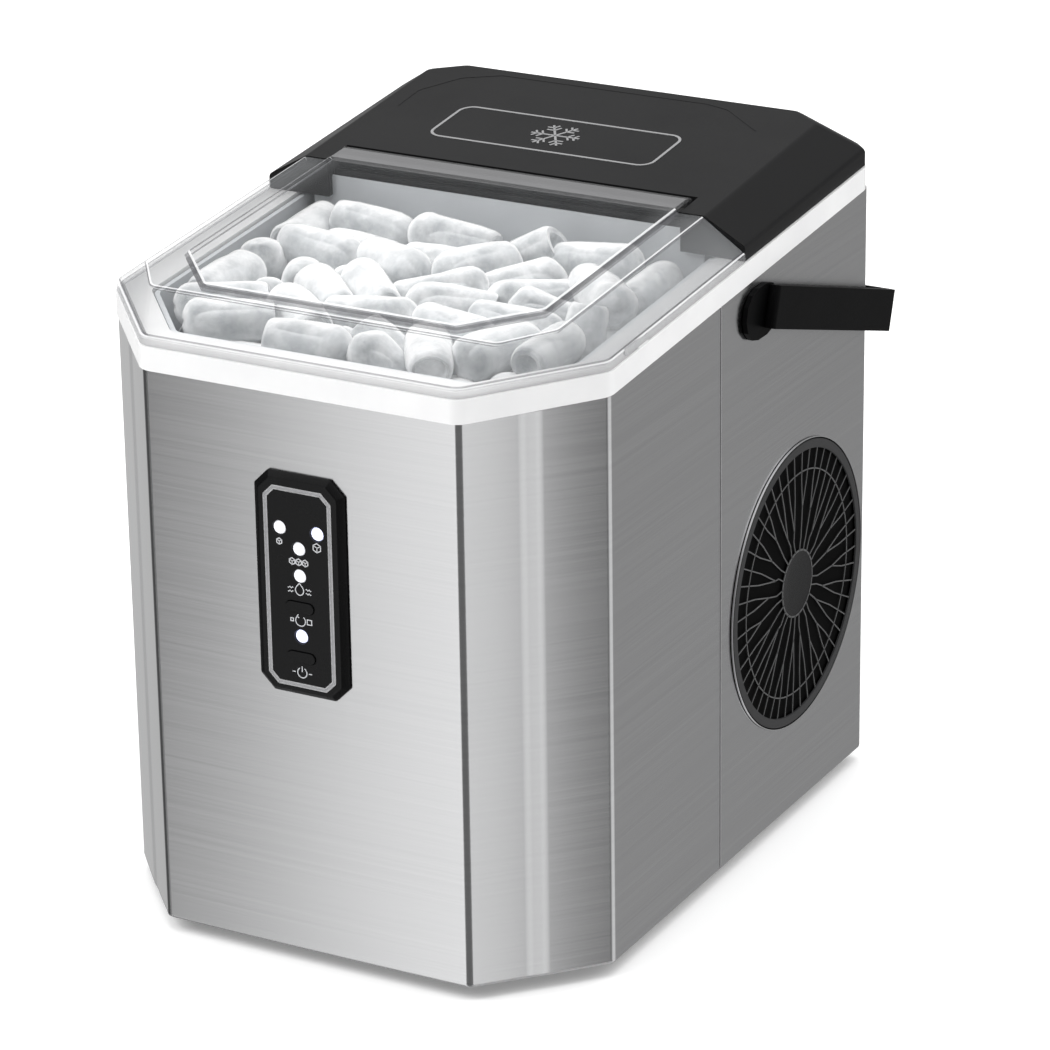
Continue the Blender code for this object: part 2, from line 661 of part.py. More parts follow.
def make_control_bezel():
    """Cast frame of the controls: a low foot on the steel, sloping flanks, and holes for what shows."""
    rings = [[(x, y, height) for x, y in rounded(panel_outline(shrink), 0.0012, 2)]
             for shrink, height in ((0, 0), (0, PANEL_FOOT), (PANEL_FLANK, PANEL_PROUD - GAP))]
    bezel = loft("control_bezel", rings, GLOSS, close_bottom=True)
    outlines = [circle(LAMP_R + GAP, 16, x, z) for x, z in LAMPS.values()]
    outlines += [[(x, z + y) for x, y in pill(BUTTON_HALF, BUTTON_R + GAP)] for z in BUTTONS.values()]
    holes = merged("bezel_holes", [plate("hole", [outline], 0.02, GLOSS, cutters) for outline in outlines])
    for obj in (bezel, holes):
        stand_on_front(obj, 0, FRONT_Y - GAP, 0)
    cut(bezel, holes)


def make_lamps_and_buttons():
    face = FRONT_Y - PANEL_PROUD
    for name, (x, z) in LAMPS.items():
        lamp = rod(name, (x, face + 0.0002, z), "Y", LAMP_LENGTH, LAMP_R, LAMP, 16)
        smooth(lamp)
    for name, z in BUTTONS.items():
        button = plate(name, [pill(BUTTON_HALF, BUTTON_R)], BUTTON_LENGTH, MATTE)
        stand_on_front(button, 0, 0, 0)
        button.location = (0, face - BUTTON_PROUD + BUTTON_LENGTH / 2, z)
        soften(button, 0.0004, 1)


def make_boards():
    """Control board with its two key switches standing on it, and the power board on the left wall."""
    switch_y = FRONT_Y - PANEL_PROUD - BUTTON_PROUD + BUTTON_LENGTH + BUTTON_TRAVEL + GAP
    y = switch_y + 0.0040
    board = box("control_board", (-0.0165, y, PANEL_LOW + 0.004), (0.0165, y + 0.0016, PANEL_HIGH - 0.004),
                GREEN)
    for name, z in BUTTONS.items():
        case = box(name + "_switch", (-0.003, switch_y + 0.0012, z - 0.003), (0.003, y + 0.0005, z + 0.003),
                   MATTE, cutters)
        plunger = rod(name + "_plunger", (0, switch_y, z), "Y", 0.003, 0.0016, MATTE, 12, cutters)
        join(board, case, plunger)
    power = box("power_board", (-0.1070, -0.0700, 0.1300), (-0.1050, -0.0100, 0.2150), GREEN)
    relay = box("power_relay", (-0.1052, -0.0600, 0.1700), (-0.0980, -0.0420, 0.1900), MATTE, cutters)
    transformer = box("power_transformer", (-0.1052, -0.0300, 0.1500), (-0.0980, -0.0140, 0.1720), MATTE,
                      cutters)
    join(power, relay, transformer)


# ---------------------------------------------------------------- cooling circuit
COMPRESSOR = (-0.0440, 0.0780)
BASE_TOP = 0.0106


def make_compressor():
    """Welded steel can, turned about its upright axis."""
    radius, low, high = 0.0470, 0.0180, 0.1400
    profile = [(0, high)]
    for i in range(1, 6):
        a = math.pi / 2 * (1 - i / 5)
        profile.append((radius - 0.022 + 0.022 * math.cos(a), high - 0.022 + 0.022 * math.sin(a)))
    profile += [(radius, 0.085), (radius + 0.002, 0.083), (radius + 0.002, 0.079), (radius, 0.077)]
    for i in range(5):
        a = math.pi / 2 * i / 5
        profile.append((radius - 0.016 + 0.016 * math.cos(a), low + 0.016 - 0.016 * math.sin(a)))
    profile.append((0, low))
    bm = bmesh.new()
    verts = [bm.verts.new((x, 0, z)) for x, z in profile]
    for a, b in zip(verts, verts[1:]):
        bm.edges.new((a, b))
    mesh = bpy.data.meshes.new("compressor")
    bm.to_mesh(mesh)
    bm.free()
    can = place(bpy.data.objects.new("compressor", mesh), PAINTED)
    can.location = (*COMPRESSOR, 0)
    screw = can.modifiers.new("turned", "SCREW")
    screw.steps = 28
    screw.render_steps = 28
    screw.use_merge_vertices = True
    screw.merge_threshold = 0.0001
    bracket = box("compressor_bracket", (COMPRESSOR[0] - 0.050, COMPRESSOR[1] - 0.044, BASE_TOP),
                  (COMPRESSOR[0] + 0.050, COMPRESSOR[1] + 0.044, BASE_TOP + 0.007), PAINTED)
    soften(bracket, 0.0010, 1)


def make_condenser():
    """Finned coil between the compressor and the fan, as one solid with its air slots cut in."""
    low, high = (0.0520, 0.0200, 0.0110), (0.0660, 0.1220, 0.1560)
    core = box("condenser", low, high, ALUMINIUM)
    slots = [box("slot", (low[0] - 0.01, low[1] + 0.006, low[2] + 0.006 + 0.0098 * i),
                 (high[0] + 0.01, high[1] - 0.006, low[2] + 0.011 + 0.0098 * i), ALUMINIUM, cutters)
             for i in range(14)]
    cut(core, merged("condenser_slots", slots))


def blade_section(radius, spread):
    """Closed loop around one blade at a radius: across its upper face and back along its lower one."""
    top, bottom = [], []
    for j in range(4):
        across = j / 1.5 - 1
        for side, half_t in ((top, 0.0007), (bottom, -0.0007)):
            a = spread * across
            side.append((0.0050 * across + half_t, radius * math.sin(a), radius * math.cos(a)))
    return top + bottom[::-1]


def make_fan():
    hub_x, hub_r, tip_r = 0.0880, 0.0170, 0.0500
    hub = rod("fan_blades", (hub_x, FAN_Y, FAN_Z), "X", 0.0140, hub_r, MATTE, 28)
    blades = []
    for k in range(7):
        turn = Matrix.Translation((hub_x + 0.007, FAN_Y, FAN_Z)) @ Matrix.Rotation(
            2 * math.pi * k / 7, 4, "X")
        rings = [blade_section(hub_r - 0.002 + (tip_r - hub_r + 0.002) * i / 4, math.radians(19 - i))
                 for i in range(5)]
        blade = loft("blade", [[turn @ Vector(p) for p in ring] for ring in rings], MATTE, cutters,
                     close_bottom=True)
        blades.append(blade)
    join(hub, merged("fan_blade_set", blades, MATTE))
    well = rod("fan_hub_bore", (hub_x - 0.002, FAN_Y, FAN_Z), "X", 0.010, 0.0023, MATTE, 16, cutters)
    cut(hub, well)
    rod("fan_shaft", (0.0800, FAN_Y, FAN_Z), "X", 0.0150, 0.0020, NICKEL, 16)

    motor = rod("fan_motor", (0.0690, FAN_Y, FAN_Z), "X", 0.0165, 0.0160, PAINTED, 24)
    soften(motor, 0.0012, 1)
    motor_bore = rod("fan_motor_bore", (0.0790, FAN_Y, FAN_Z), "X", 0.010, 0.0023, PAINTED, 16, cutters)
    cut(motor, motor_bore)

    stand = BASE_TOP + 0.0006 - FAN_Z
    square = rounded([(-0.0600, stand), (0.0600, stand), (0.0600, 0.0560), (-0.0600, 0.0560)], 0.006, 3)
    shroud = plate("fan_shroud", [square, circle(0.0530, 40)], 0.0200, MATTE)
    stand_on_side(shroud, 0.0965, FAN_Y, FAN_Z)
    ring = plate("motor_ring", [circle(0.0205, 24), circle(0.0164, 24)], 0.0040, MATTE, cutters)
    stand_on_side(ring, 0.0740, FAN_Y, FAN_Z)
    arms = [ring]
    for k in range(3):
        arm = box("arm", (0.0726, -0.0030, 0.0180), (0.0754, 0.0030, 0.0550), MATTE, cutters)
        arm.data.transform(Matrix.Translation(arm.location))
        post = box("post", (0.0720, -0.0034, 0.0535), (0.0880, 0.0034, 0.0556), MATTE, cutters)
        post.data.transform(Matrix.Translation(post.location))
        spin = Matrix.Rotation(2 * math.pi * k / 3 + math.pi / 4, 4, "X")
        for piece in (arm, post):
            piece.data.transform(Matrix.Translation((0, FAN_Y, FAN_Z)) @ spin)
            piece.location = (0, 0, 0)
            arms.append(piece)
    for piece in arms:
        join(shroud, piece)


def make_side_grille():
    """Round outlet grille: rim, middle ring, hub disc and radial ribs, with the slots between them cut."""
    rings = [(0.0150, 0.0475), (0.0495, 0.0575)]
    ribs, half_rib = 24, 0.0007
    outlines = [circle(GRILLE_R, 64)]
    for inner, outer in rings:
        for k in range(ribs):
            outlines.append(sector(inner, outer, 2 * math.pi * k / ribs, 2 * math.pi / ribs, half_rib))
    grille = plate("side_grille", outlines, 0.0018, MATTE)
    stand_on_side(grille, HALF_W + GAP + 0.0009, FAN_Y, FAN_Z)


def sector(inner, outer, start, sweep, margin):
    """Slot between two ribs, with its sides parallel to the ribs."""
    points = []
    for radius, forward in ((inner, True), (outer, False)):
        edge = math.asin(margin / radius)
        a, b = start + edge, start + sweep - edge
        angles = (a, (a + b) / 2, b)
        for angle in angles if forward else reversed(angles):
            points.append((radius * math.cos(angle), radius * math.sin(angle)))
    return points


def make_pipes():
    """Refrigerant circuit in copper; the pipes cross over the chamber's back wall, under the rear cover."""
    x, y = COMPRESSOR
    can_top, over = 0.1404, 0.2645
    tube("suction_line", [(x - 0.018, y + 0.010, can_top), (x - 0.018, y + 0.010, 0.158),
                          (x - 0.018, 0.1100, 0.158), (x - 0.018, 0.1100, over),
                          (x - 0.018, TRAY_Y, over), (x - 0.018, TRAY_Y, 0.2424)],
         0.0030)
    tube("discharge_line", [(x + 0.018, y - 0.012, can_top), (x + 0.018, y - 0.012, 0.1530),
                            (0.0330, y - 0.012, 0.1530), (0.0330, 0.0400, 0.1530), (0.0517, 0.0400, 0.1530)],
         0.0025)
    drier_x, drier_y = 0.0300, 0.1190
    drier = rod("filter_drier", (drier_x, drier_y, 0.0620), "Z", 0.046, 0.0070, COPPER, 16)
    soften(drier, 0.003, 2)
    tube("liquid_line", [(0.0517, drier_y, 0.0360), (drier_x, drier_y, 0.0360), (drier_x, drier_y, 0.0617)],
         0.0022)
    tube("capillary_line", [(drier_x, drier_y, 0.1083), (drier_x, drier_y, over), (drier_x, TRAY_Y, over),
                            (drier_x, TRAY_Y, 0.2424)], 0.0015)
    valve = box("hot_gas_valve", (-0.0880, 0.0930, 0.1900), (-0.0700, 0.1250, 0.2100), BLACK)
    stem = rod("hot_gas_valve_body", (-0.0790, 0.1090, 0.1800), "Z", 0.045, 0.0060, NICKEL, 16, cutters)
    join(valve, stem)


def make_water_parts():
    pump = rod("water_pump", (*PUMP, 0.0109), "Z", 0.0400, 0.0170, MATTE, 24)
    head = rod("pump_head", (*PUMP, 0.0480), "Z", 0.0120, 0.0130, MATTE, 24, cutters)
    join(pump, head)
    tube("pump_inlet_hose", [(*PUMP, 0.0603), (*PUMP, 0.0917)], 0.0050, HOSE)
    wall_x, low = -0.1056, 0.0420
    tube("pump_outlet_hose", [(PUMP[0] - 0.0174, PUMP[1], low), (PUMP[0] - 0.0450, PUMP[1], low),
                              (wall_x, PUMP[1] + 0.0250, low), (wall_x, 0.0180, low),
                              (wall_x, 0.0180, 0.2180), (-0.0958, 0.0180, 0.2180)], 0.0025, HOSE)
    x, y = TANK_DRAIN
    tube("drain_hose", [(x, y, 0.0917), (x, y, 0.0300), (-0.0980, -0.0200, 0.0300), (-0.0980, 0.1000, 0.0300),
                        (DRAIN[0], 0.1180, DRAIN[1]), (DRAIN[0], REAR_Y - 0.0093, DRAIN[1])], 0.0035, HOSE)


def make_rear_fittings():
    """Drain spout with its pull-out plug, and the strain gland for the mains lead."""
    spout = rod("drain_spout", (DRAIN[0], REAR_Y - 0.0090, DRAIN[1]), "Y", 0.0120, 0.0080, WHITE, 20)
    bore = rod("spout_bore", (DRAIN[0], REAR_Y - 0.0070, DRAIN[1]), "Y", 0.0200, 0.0053, WHITE, 20, cutters)
    cut(spout, bore)
    plug = rod("drain_plug", (DRAIN[0], REAR_Y - 0.0060, DRAIN[1]), "Y", 0.0100, 0.0046, RUBBER, 20,
               tip=0.0050)
    cap = rod("plug_cap", (DRAIN[0], REAR_Y + 0.0034, DRAIN[1]), "Y", 0.0025, 0.0085, RUBBER, 20, cutters)
    tab = box("plug_tab", (DRAIN[0] - 0.0035, REAR_Y + 0.0040, DRAIN[1] - 0.0150),
              (DRAIN[0] + 0.0035, REAR_Y + 0.0059, DRAIN[1]), RUBBER, cutters)
    join(plug, cap, tab)
    gland = rod("cord_gland", (GLAND[0], REAR_Y + GAP, GLAND[1]), "Y", 0.0040, 0.0090, MATTE, 20, tip=0.0078)
    sleeve = rod("gland_sleeve", (GLAND[0], REAR_Y - 0.0080, GLAND[1]), "Y", 0.0110, 0.0060, MATTE, 20,
                 cutters)
    lead_hole = rod("lead_hole", (GLAND[0], REAR_Y - 0.0100, GLAND[1]), "Y", 0.0200, 0.0036, MATTE, 16,
                    cutters)
    join(gland, sleeve)
    cut(gland, lead_hole)


# ---------------------------------------------------------------- carrying handle
def make_handle():
    """Flat bail: two arms and a crossbar behind the cabinet, turned down to its resting slope."""
    inner, outer = HANDLE_IN, HANDLE_IN + HANDLE_T
    far_in, far_out, near = HANDLE_REACH, HANDLE_REACH + HANDLE_T, -0.0065
    legs = [(outer, near), (outer, far_out), (-outer, far_out), (-outer, near), (-inner, near),
            (-inner, far_in), (inner, far_in), (inner, near)]
    bail = plate("carry_handle", [legs], HANDLE_W, MATTE)
    bail.location = (0, PIVOT_Y, PIVOT_Z)
    bail.rotation_euler.x = -HANDLE_ANGLE
    soften(bail, HANDLE_EDGE)
    for side in (-1, 1):
        start = HANDLE_IN - 0.002 if side > 0 else -HANDLE_IN - 0.0036
        bore = rod(f"handle_bore_{side}", (start, PIVOT_Y, PIVOT_Z), "X", 0.0056, 0.0043, MATTE, 20, cutters)
        cut(bail, bore)


def make_handle_mounts():
    """Boss on each side panel with the stub that the handle turns on."""
    for name, side in (("handle_mount_left", -1), ("handle_mount_right", 1)):
        boss = plate(name, [pill(0.0040, 0.0108)], HANDLE_IN - HALF_W - 2 * GAP, MATTE)
        stand_on_side(boss, side * (HALF_W + HANDLE_IN) / 2, PIVOT_Y - 0.0080, PIVOT_Z)
        start = HALF_W + 2 * GAP if side > 0 else -HANDLE_IN - 0.0030
        stub = rod(name + "_stub", (start, PIVOT_Y, PIVOT_Z), "X", 0.0030 + HANDLE_IN - HALF_W - 2 * GAP,
                   0.0040, MATTE, 20, cutters)
        join(boss, stub)


make_base_plate()
make_feet()
make_front_wrap()
make_rear_wrap()
make_rear_screws()
make_top_rim()
make_lid()
make_hinge_pins()
make_rear_cover()
make_inner_liner()
make_ice_basket()
make_ice_sensors()
make_evaporator()
make_water_tray()
make_tray_drive()
make_ice_shovel()
make_control_bezel()
make_lamps_and_buttons()
make_boards()
make_compressor()
make_condenser()
make_fan()
make_side_grille()
make_pipes()
make_water_parts()
make_rear_fittings()
make_handle()
make_handle_mounts()
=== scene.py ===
"""Looks of the portable ice maker: finer shells, satin plastics, brushed steel and a heap of ice.

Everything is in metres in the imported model's frame. Pieces are drawn in the cabinet's own frame, whose
origin is the bottom centre of the steel cabinet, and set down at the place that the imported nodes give.
"""
import math

import bmesh
import bpy
import numpy as np
from mathutils import Matrix, Vector


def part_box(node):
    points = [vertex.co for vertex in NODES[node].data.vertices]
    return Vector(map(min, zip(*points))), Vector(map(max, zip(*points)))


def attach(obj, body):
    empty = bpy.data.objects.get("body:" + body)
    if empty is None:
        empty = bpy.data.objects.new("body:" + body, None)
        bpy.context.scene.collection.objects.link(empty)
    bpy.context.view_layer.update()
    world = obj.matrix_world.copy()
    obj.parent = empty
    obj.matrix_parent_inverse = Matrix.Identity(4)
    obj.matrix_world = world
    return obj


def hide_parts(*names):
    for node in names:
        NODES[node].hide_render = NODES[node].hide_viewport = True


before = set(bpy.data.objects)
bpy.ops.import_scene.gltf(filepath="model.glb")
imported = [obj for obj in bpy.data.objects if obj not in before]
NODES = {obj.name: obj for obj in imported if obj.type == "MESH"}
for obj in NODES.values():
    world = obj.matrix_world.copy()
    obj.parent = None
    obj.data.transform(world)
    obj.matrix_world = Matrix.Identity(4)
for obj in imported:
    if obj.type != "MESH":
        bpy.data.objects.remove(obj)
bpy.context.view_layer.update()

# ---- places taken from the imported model
FRONT_LOW, FRONT_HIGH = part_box("front_wrap")
REAR_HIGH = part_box("rear_wrap")[1]
MIDDLE = Vector((0, (FRONT_LOW.y + REAR_HIGH.y) / 2, FRONT_LOW.z))
HALF_W = FRONT_HIGH.x
FRONT_Y = FRONT_LOW.y - MIDDLE.y
REAR_Y = REAR_HIGH.y - MIDDLE.y
CORNER_X, CORNER_Y = 0.0405, 0.0451
SLOPE = 0.0707
RIM_TOP = 0.2546
RIM_HEIGHT = 0.0097
GAP = 0.0003
SEAM_Y = FRONT_HIGH.y - MIDDLE.y + GAP / 2
LID_RISE, LID_PANEL = 0.0165, 0.0018
LID_BACK_Y = 0.0210
TONGUE_W = 0.0800
PIN_LOW, PIN_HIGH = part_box("hinge_pin_right")
HINGE = Vector((0, (PIN_LOW.y + PIN_HIGH.y) / 2, (PIN_LOW.z + PIN_HIGH.z) / 2)) - MIDDLE
HINGE_R = 0.0045
GRILLE_LOW, GRILLE_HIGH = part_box("side_grille")
FAN = (GRILLE_LOW + GRILLE_HIGH) / 2 - MIDDLE
GRILLE_R = (GRILLE_HIGH.z - GRILLE_LOW.z) / 2
PANEL_LOW, PANEL_HIGH = (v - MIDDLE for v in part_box("control_bezel"))
HANDLE_ANGLE = math.radians(17.9)
PIVOT = Vector((0, 0.0410, 0.2325))
HANDLE_IN, HANDLE_T, HANDLE_W, HANDLE_REACH = 0.1126, 0.0050, 0.0175, 0.1095


# ---- materials
class Graph:
    """A short way to add and join shader nodes."""

    def __init__(self, tree):
        self.tree = tree

    def add(self, kind, **values):
        node = self.tree.nodes.new("ShaderNode" + kind)
        for key, value in values.items():
            if key in node.inputs.keys():
                self.feed(node.inputs[key], value)
            else:
                setattr(node, key, value)
        return node

    def feed(self, socket, value):
        """Join a value or a node to a socket; a name means that socket of the surface shader."""
        if isinstance(socket, str):
            socket = self.tree.nodes["Principled BSDF"].inputs[socket]
        if isinstance(value, bpy.types.NodeSocket):
            self.tree.links.new(value, socket)
        elif isinstance(value, bpy.types.Node):
            self.tree.links.new(value.outputs[0], socket)
        else:
            socket.default_value = value

    def math(self, operation, a, b=0.0, c=0.0):
        node = self.add("Math", operation=operation)
        for socket, value in zip(node.inputs, (a, b, c)):
            self.feed(socket, value)
        return node.outputs[0]

    def noise(self, stretch, detail=3.0, scale=1.0, roughness=0.5):
        """Noise over the object's own metres, stretched by a factor per axis."""
        place = self.add("TexCoord").outputs["Object"]
        mapping = self.add("Mapping", Vector=place, Scale=stretch)
        texture = self.add("TexNoise", Vector=mapping.outputs[0], Scale=scale, Detail=detail,
                           Roughness=roughness)
        return texture.outputs["Fac"]

    def ramp(self, value, low=0.0, high=1.0, start=0.3, end=0.7):
        """Map a 0 to 1 pattern onto a range of numbers."""
        node = self.add("MapRange", Value=value)
        for socket, number in zip(list(node.inputs)[1:5], (start, end, low, high)):
            socket.default_value = number
        return node.outputs[0]

    def mix(self, fac, a, b):
        node = self.add("MixRGB", Fac=fac)
        self.feed(node.inputs[1], (*a, 1.0) if isinstance(a, tuple) else a)
        self.feed(node.inputs[2], (*b, 1.0) if isinstance(b, tuple) else b)
        return node.outputs[0]

    def bump(self, height, strength, distance):
        return self.add("Bump", Height=height, Strength=strength, Distance=distance).outputs[0]


def material(name, **values):
    mat = bpy.data.materials.new(name)
    mat.use_nodes = True
    graph = Graph(mat.node_tree)
    for key, value in values.items():
        graph.feed(key.replace("_", " "), value)
    return mat, graph


def brushed_steel():
    mat, g = material("steel_brushed", Metallic=1.0, Anisotropic=0.80, Anisotropic_Rotation=0.25)
    fine = g.noise((7, 7, 3000), 2.0)
    broad = g.noise((4, 4, 700), 2.0)
    cloud = g.noise((7, 7, 7), 2.0)
    grain = g.math("MULTIPLY_ADD", fine, 0.6, g.math("MULTIPLY", broad, 0.4))
    g.feed("Base Color", g.mix(g.ramp(grain), (0.632, 0.634, 0.641),
                                         (0.698, 0.700, 0.706)))
    g.feed("Roughness", g.math("ADD", g.ramp(grain, 0.215, 0.250), g.ramp(cloud, -0.010, 0.010)))
    g.feed("Normal", g.bump(grain, 0.02, 0.0002))
    tangent = g.add("Tangent", direction_type="RADIAL", axis="Z")
    g.feed("Tangent", tangent)
    return mat


def cut_steel():
    """The bright sheared edge of the sheet."""
    mat, g = material("steel_cut_edge", Metallic=1.0, Roughness=0.30)
    grain = g.noise((900, 900, 120), 2.0)
    g.feed("Base Color", g.mix(grain, (0.62, 0.62, 0.63), (0.84, 0.84, 0.85)))
    return mat


def gloss_plastic(name, colour, shade, roughness=0.16, texture=0.02, shine=0.5):
    """Injection-moulded gloss plastic with a faint mottle and orange peel."""
    mat, g = material(name, IOR=1.49, Specular_IOR_Level=shine)
    mottle = g.noise((38, 38, 38), 3.0)
    peel = g.noise((520, 520, 520), 1.0)
    g.feed("Base Color", g.mix(g.ramp(mottle), colour, shade))
    g.feed("Roughness", g.ramp(mottle, roughness - 0.03, roughness + 0.05))
    g.feed("Normal", g.bump(peel, texture, 0.0003))
    return mat


def grained_plastic(name, colour, shade, roughness, grain_size=2400, strength=0.16, shine=0.5):
    """Moulded plastic with a fine spark-eroded grain, a little more polished in random patches."""
    mat, g = material(name, IOR=1.48, Specular_IOR_Level=shine)
    grain = g.noise((grain_size,) * 3, 2.0, roughness=0.65)
    wear = g.noise((26, 26, 26), 3.0)
    g.feed("Base Color", g.mix(g.ramp(wear), colour, shade))
    g.feed("Roughness", g.math("ADD", g.ramp(wear, roughness - 0.05, roughness + 0.05),
                                         g.ramp(grain, -0.04, 0.05)))
    g.feed("Normal", g.bump(grain, strength, 0.00025))
    return mat


def painted_metal(name, colour, shade, roughness):
    mat, g = material(name, IOR=1.5)
    peel = g.noise((700, 700, 700), 2.0)
    g.feed("Base Color", g.mix(g.ramp(peel), colour, shade))
    g.feed("Roughness", g.ramp(peel, roughness - 0.06, roughness + 0.08))
    g.feed("Normal", g.bump(peel, 0.3, 0.0003))
    return mat


def metal(name, colour, shade, roughness, stretch=(60, 60, 60)):
    mat, g = material(name, Metallic=1.0)
    stain = g.noise(stretch, 4.0)
    g.feed("Base Color", g.mix(g.ramp(stain), colour, shade))
    g.feed("Roughness", g.ramp(stain, roughness - 0.06, roughness + 0.10))
    return mat


def finned(name):
    """Aluminium fins standing across the coil: fine vertical leaves, with painted shade in the dark gaps
    between them.
    """
    mat, g = material(name, Metallic=1.0, Roughness=0.42)
    place = g.add("TexCoord").outputs["Object"]
    leaves = g.add("TexWave", Vector=place, Scale=95.0, wave_type="BANDS", bands_direction="Y").outputs["Fac"]
    # the dark bands between the leaves are painted shade
    g.feed("Base Color", g.mix(leaves, (0.10, 0.10, 0.10), (0.72, 0.73, 0.74)))
    g.feed("Normal", g.bump(leaves, 0.8, 0.0006))
    return mat


def circuit_board():
    mat, g = material("board_green", Roughness=0.38)
    place = g.add("TexCoord").outputs["Object"]
    cells = g.add("TexBrick", Vector=g.add("Mapping", Vector=place, Scale=(170, 170, 170)).outputs[0])
    cells.inputs["Color1"].default_value = (0.010, 0.120, 0.045, 1)
    cells.inputs["Color2"].default_value = (0.014, 0.150, 0.055, 1)
    cells.inputs["Mortar"].default_value = (0.20, 0.30, 0.12, 1)
    cells.inputs["Mortar Size"].default_value = 0.03
    g.feed("Base Color", cells.outputs["Color"])
    return mat


def clear_lid(name, tint, alpha_face, alpha_rim, start=0.50, end=0.90, sides=0.0):
    """Clear moulded plastic: see-through face on and denser at a glancing angle; the grey added towards both
    sides is a painted reflection.
    """
    mat, g = material(name, Roughness=0.07, IOR=1.49)
    haze = g.noise((55, 55, 55), 3.0)
    facing = g.add("LayerWeight", Blend=0.32).outputs["Facing"]
    place = g.add("SeparateXYZ", Vector=g.add("TexCoord").outputs["Object"])
    # painted reflection: more opaque grey towards both sides of the lid, set by position
    painted_side_reflection = g.ramp(g.math("ABSOLUTE", place.outputs["X"]), 0.0, sides, 0.070, 0.104)
    g.feed("Base Color", g.mix(g.ramp(haze), tint, tuple(c * 0.94 for c in tint)))
    see = g.math("ADD", g.ramp(facing, alpha_face, alpha_rim, start, end), g.ramp(haze, -0.008, 0.008))
    g.feed("Alpha", g.math("ADD", see, painted_side_reflection))
    return mat


def ice():
    """Machine ice: clear skin over a cloudy middle; the white at glancing angles is a painted highlight on
    the edges.
    """
    mat, g = material("ice_clear", Roughness=0.10, IOR=1.31)
    cloud = g.noise((95, 95, 95), 4.0, roughness=0.6)
    ripple = g.noise((210, 210, 210), 2.0)
    facing = g.add("LayerWeight", Blend=0.45).outputs["Facing"]
    # white towards glancing angles is a painted highlight; face on, the cloud gives the ice its own tone
    g.feed("Base Color", g.mix(g.ramp(facing, 0.0, 1.0, 0.25, 0.75), g.mix(
        g.ramp(cloud, 0.0, 1.0, 0.35, 0.65), (0.76, 0.79, 0.81), (0.96, 0.97, 0.98)), (1.0, 1.0, 1.0)))
    g.feed("Alpha", g.math("ADD", g.ramp(facing, 0.42, 1.0, 0.1, 0.7),
                                     g.ramp(cloud, -0.10, 0.20)))
    g.feed("Normal", g.bump(ripple, 0.35, 0.0012))
    return mat


def lamp_lens(name, colour, strength):
    mat, g = material(name, Roughness=0.28, IOR=1.49)
    cloud = g.noise((900, 900, 900), 2.0)
    g.feed("Base Color", g.mix(cloud, (0.80, 0.82, 0.88), (0.95, 0.96, 1.0)))
    g.feed("Emission Color", (*colour, 1.0))
    g.feed("Emission Strength", strength)
    return mat


STEEL = brushed_steel()
CUT = cut_steel()
WHITE = gloss_plastic("plastic_white", (0.86, 0.86, 0.86), (0.80, 0.80, 0.805), 0.20)
PALE = grained_plastic("plastic_liner", (0.66, 0.68, 0.70), (0.60, 0.62, 0.64), 0.38, 1500, 0.06)
BLACK = grained_plastic("plastic_black_satin", (0.0085, 0.0085, 0.0089), (0.0105, 0.0105, 0.011), 0.38,
                        shine=0.12)
MATTE = grained_plastic("plastic_black_matte", (0.0026, 0.0026, 0.0028), (0.0040, 0.0040, 0.0042), 0.40, 1900,
                        shine=0.04)
FLANGE = grained_plastic("plastic_black_flange", (0.024, 0.024, 0.025), (0.031, 0.031, 0.032), 0.40, 1900,
                         shine=0.3)
VEIN = grained_plastic("plastic_black_rib", (0.070, 0.070, 0.071), (0.100, 0.100, 0.101), 0.34, 1900, 0.08)
# painted shade: near-black for the gap round the grille and the space behind its ribs
SHADOW_BLACK = grained_plastic("plastic_black_shadow", (0.0015, 0.0015, 0.0015), (0.0020, 0.0020, 0.0020), 0.70,
                       shine=0.05)
GLOSS = gloss_plastic("plastic_black_gloss", (0.0030, 0.0030, 0.0033), (0.0042, 0.0042, 0.0045), 0.26, 0.01,
                      0.22)
HUB = gloss_plastic("plastic_piano_black", (0.0030, 0.0030, 0.0033), (0.0042, 0.0042, 0.0045), 0.14, 0.0,
                    0.25)
SILVER = metal("print_silver", (0.72, 0.72, 0.73), (0.62, 0.62, 0.63), 0.34, (800, 800, 800))
# grey middle of the bezel's raised silver ridge: painted shade
RIDGE_PAINTED_SHADE = grained_plastic("ridge_painted_shade_grey", (0.26, 0.26, 0.27), (0.31, 0.31, 0.32), 0.45)
PRINT = grained_plastic("print_white", (0.62, 0.63, 0.65), (0.52, 0.53, 0.55), 0.45)
RUBBER = grained_plastic("rubber_black", (0.014, 0.014, 0.014), (0.024, 0.024, 0.024), 0.74, 1300, 0.3)
COPPER = metal("copper_drawn", (0.72, 0.36, 0.22), (0.52, 0.24, 0.14), 0.34, (70, 70, 160))
NICKEL = metal("nickel_plated", (0.66, 0.64, 0.60), (0.56, 0.54, 0.50), 0.26)
FINS = finned("fin_leaves_painted_gap_shade")
PAINTED = painted_metal("paint_black", (0.014, 0.014, 0.015), (0.022, 0.022, 0.023), 0.44)
BOARD = circuit_board()
HOSE = grained_plastic("hose_silicone", (0.66, 0.66, 0.64), (0.56, 0.56, 0.54), 0.42, 900, 0.05)
# sides gives the lid a painted reflection towards its two sides
CLEAR = clear_lid("lid_clear", (0.34, 0.35, 0.36), 0.050, 0.50, sides=0.22)
SKIRT = clear_lid("lid_skirt", (0.42, 0.42, 0.43), 0.26, 0.50)
# the tongue's dense dark grey is painted shade of what lies under it
TONGUE_PAINTED_SHADE = clear_lid("lid_tongue_painted_shade", (0.24, 0.24, 0.245), 0.64, 0.74)
KNUCKLE = clear_lid("lid_knuckle", (0.035, 0.035, 0.036), 0.62, 0.72)
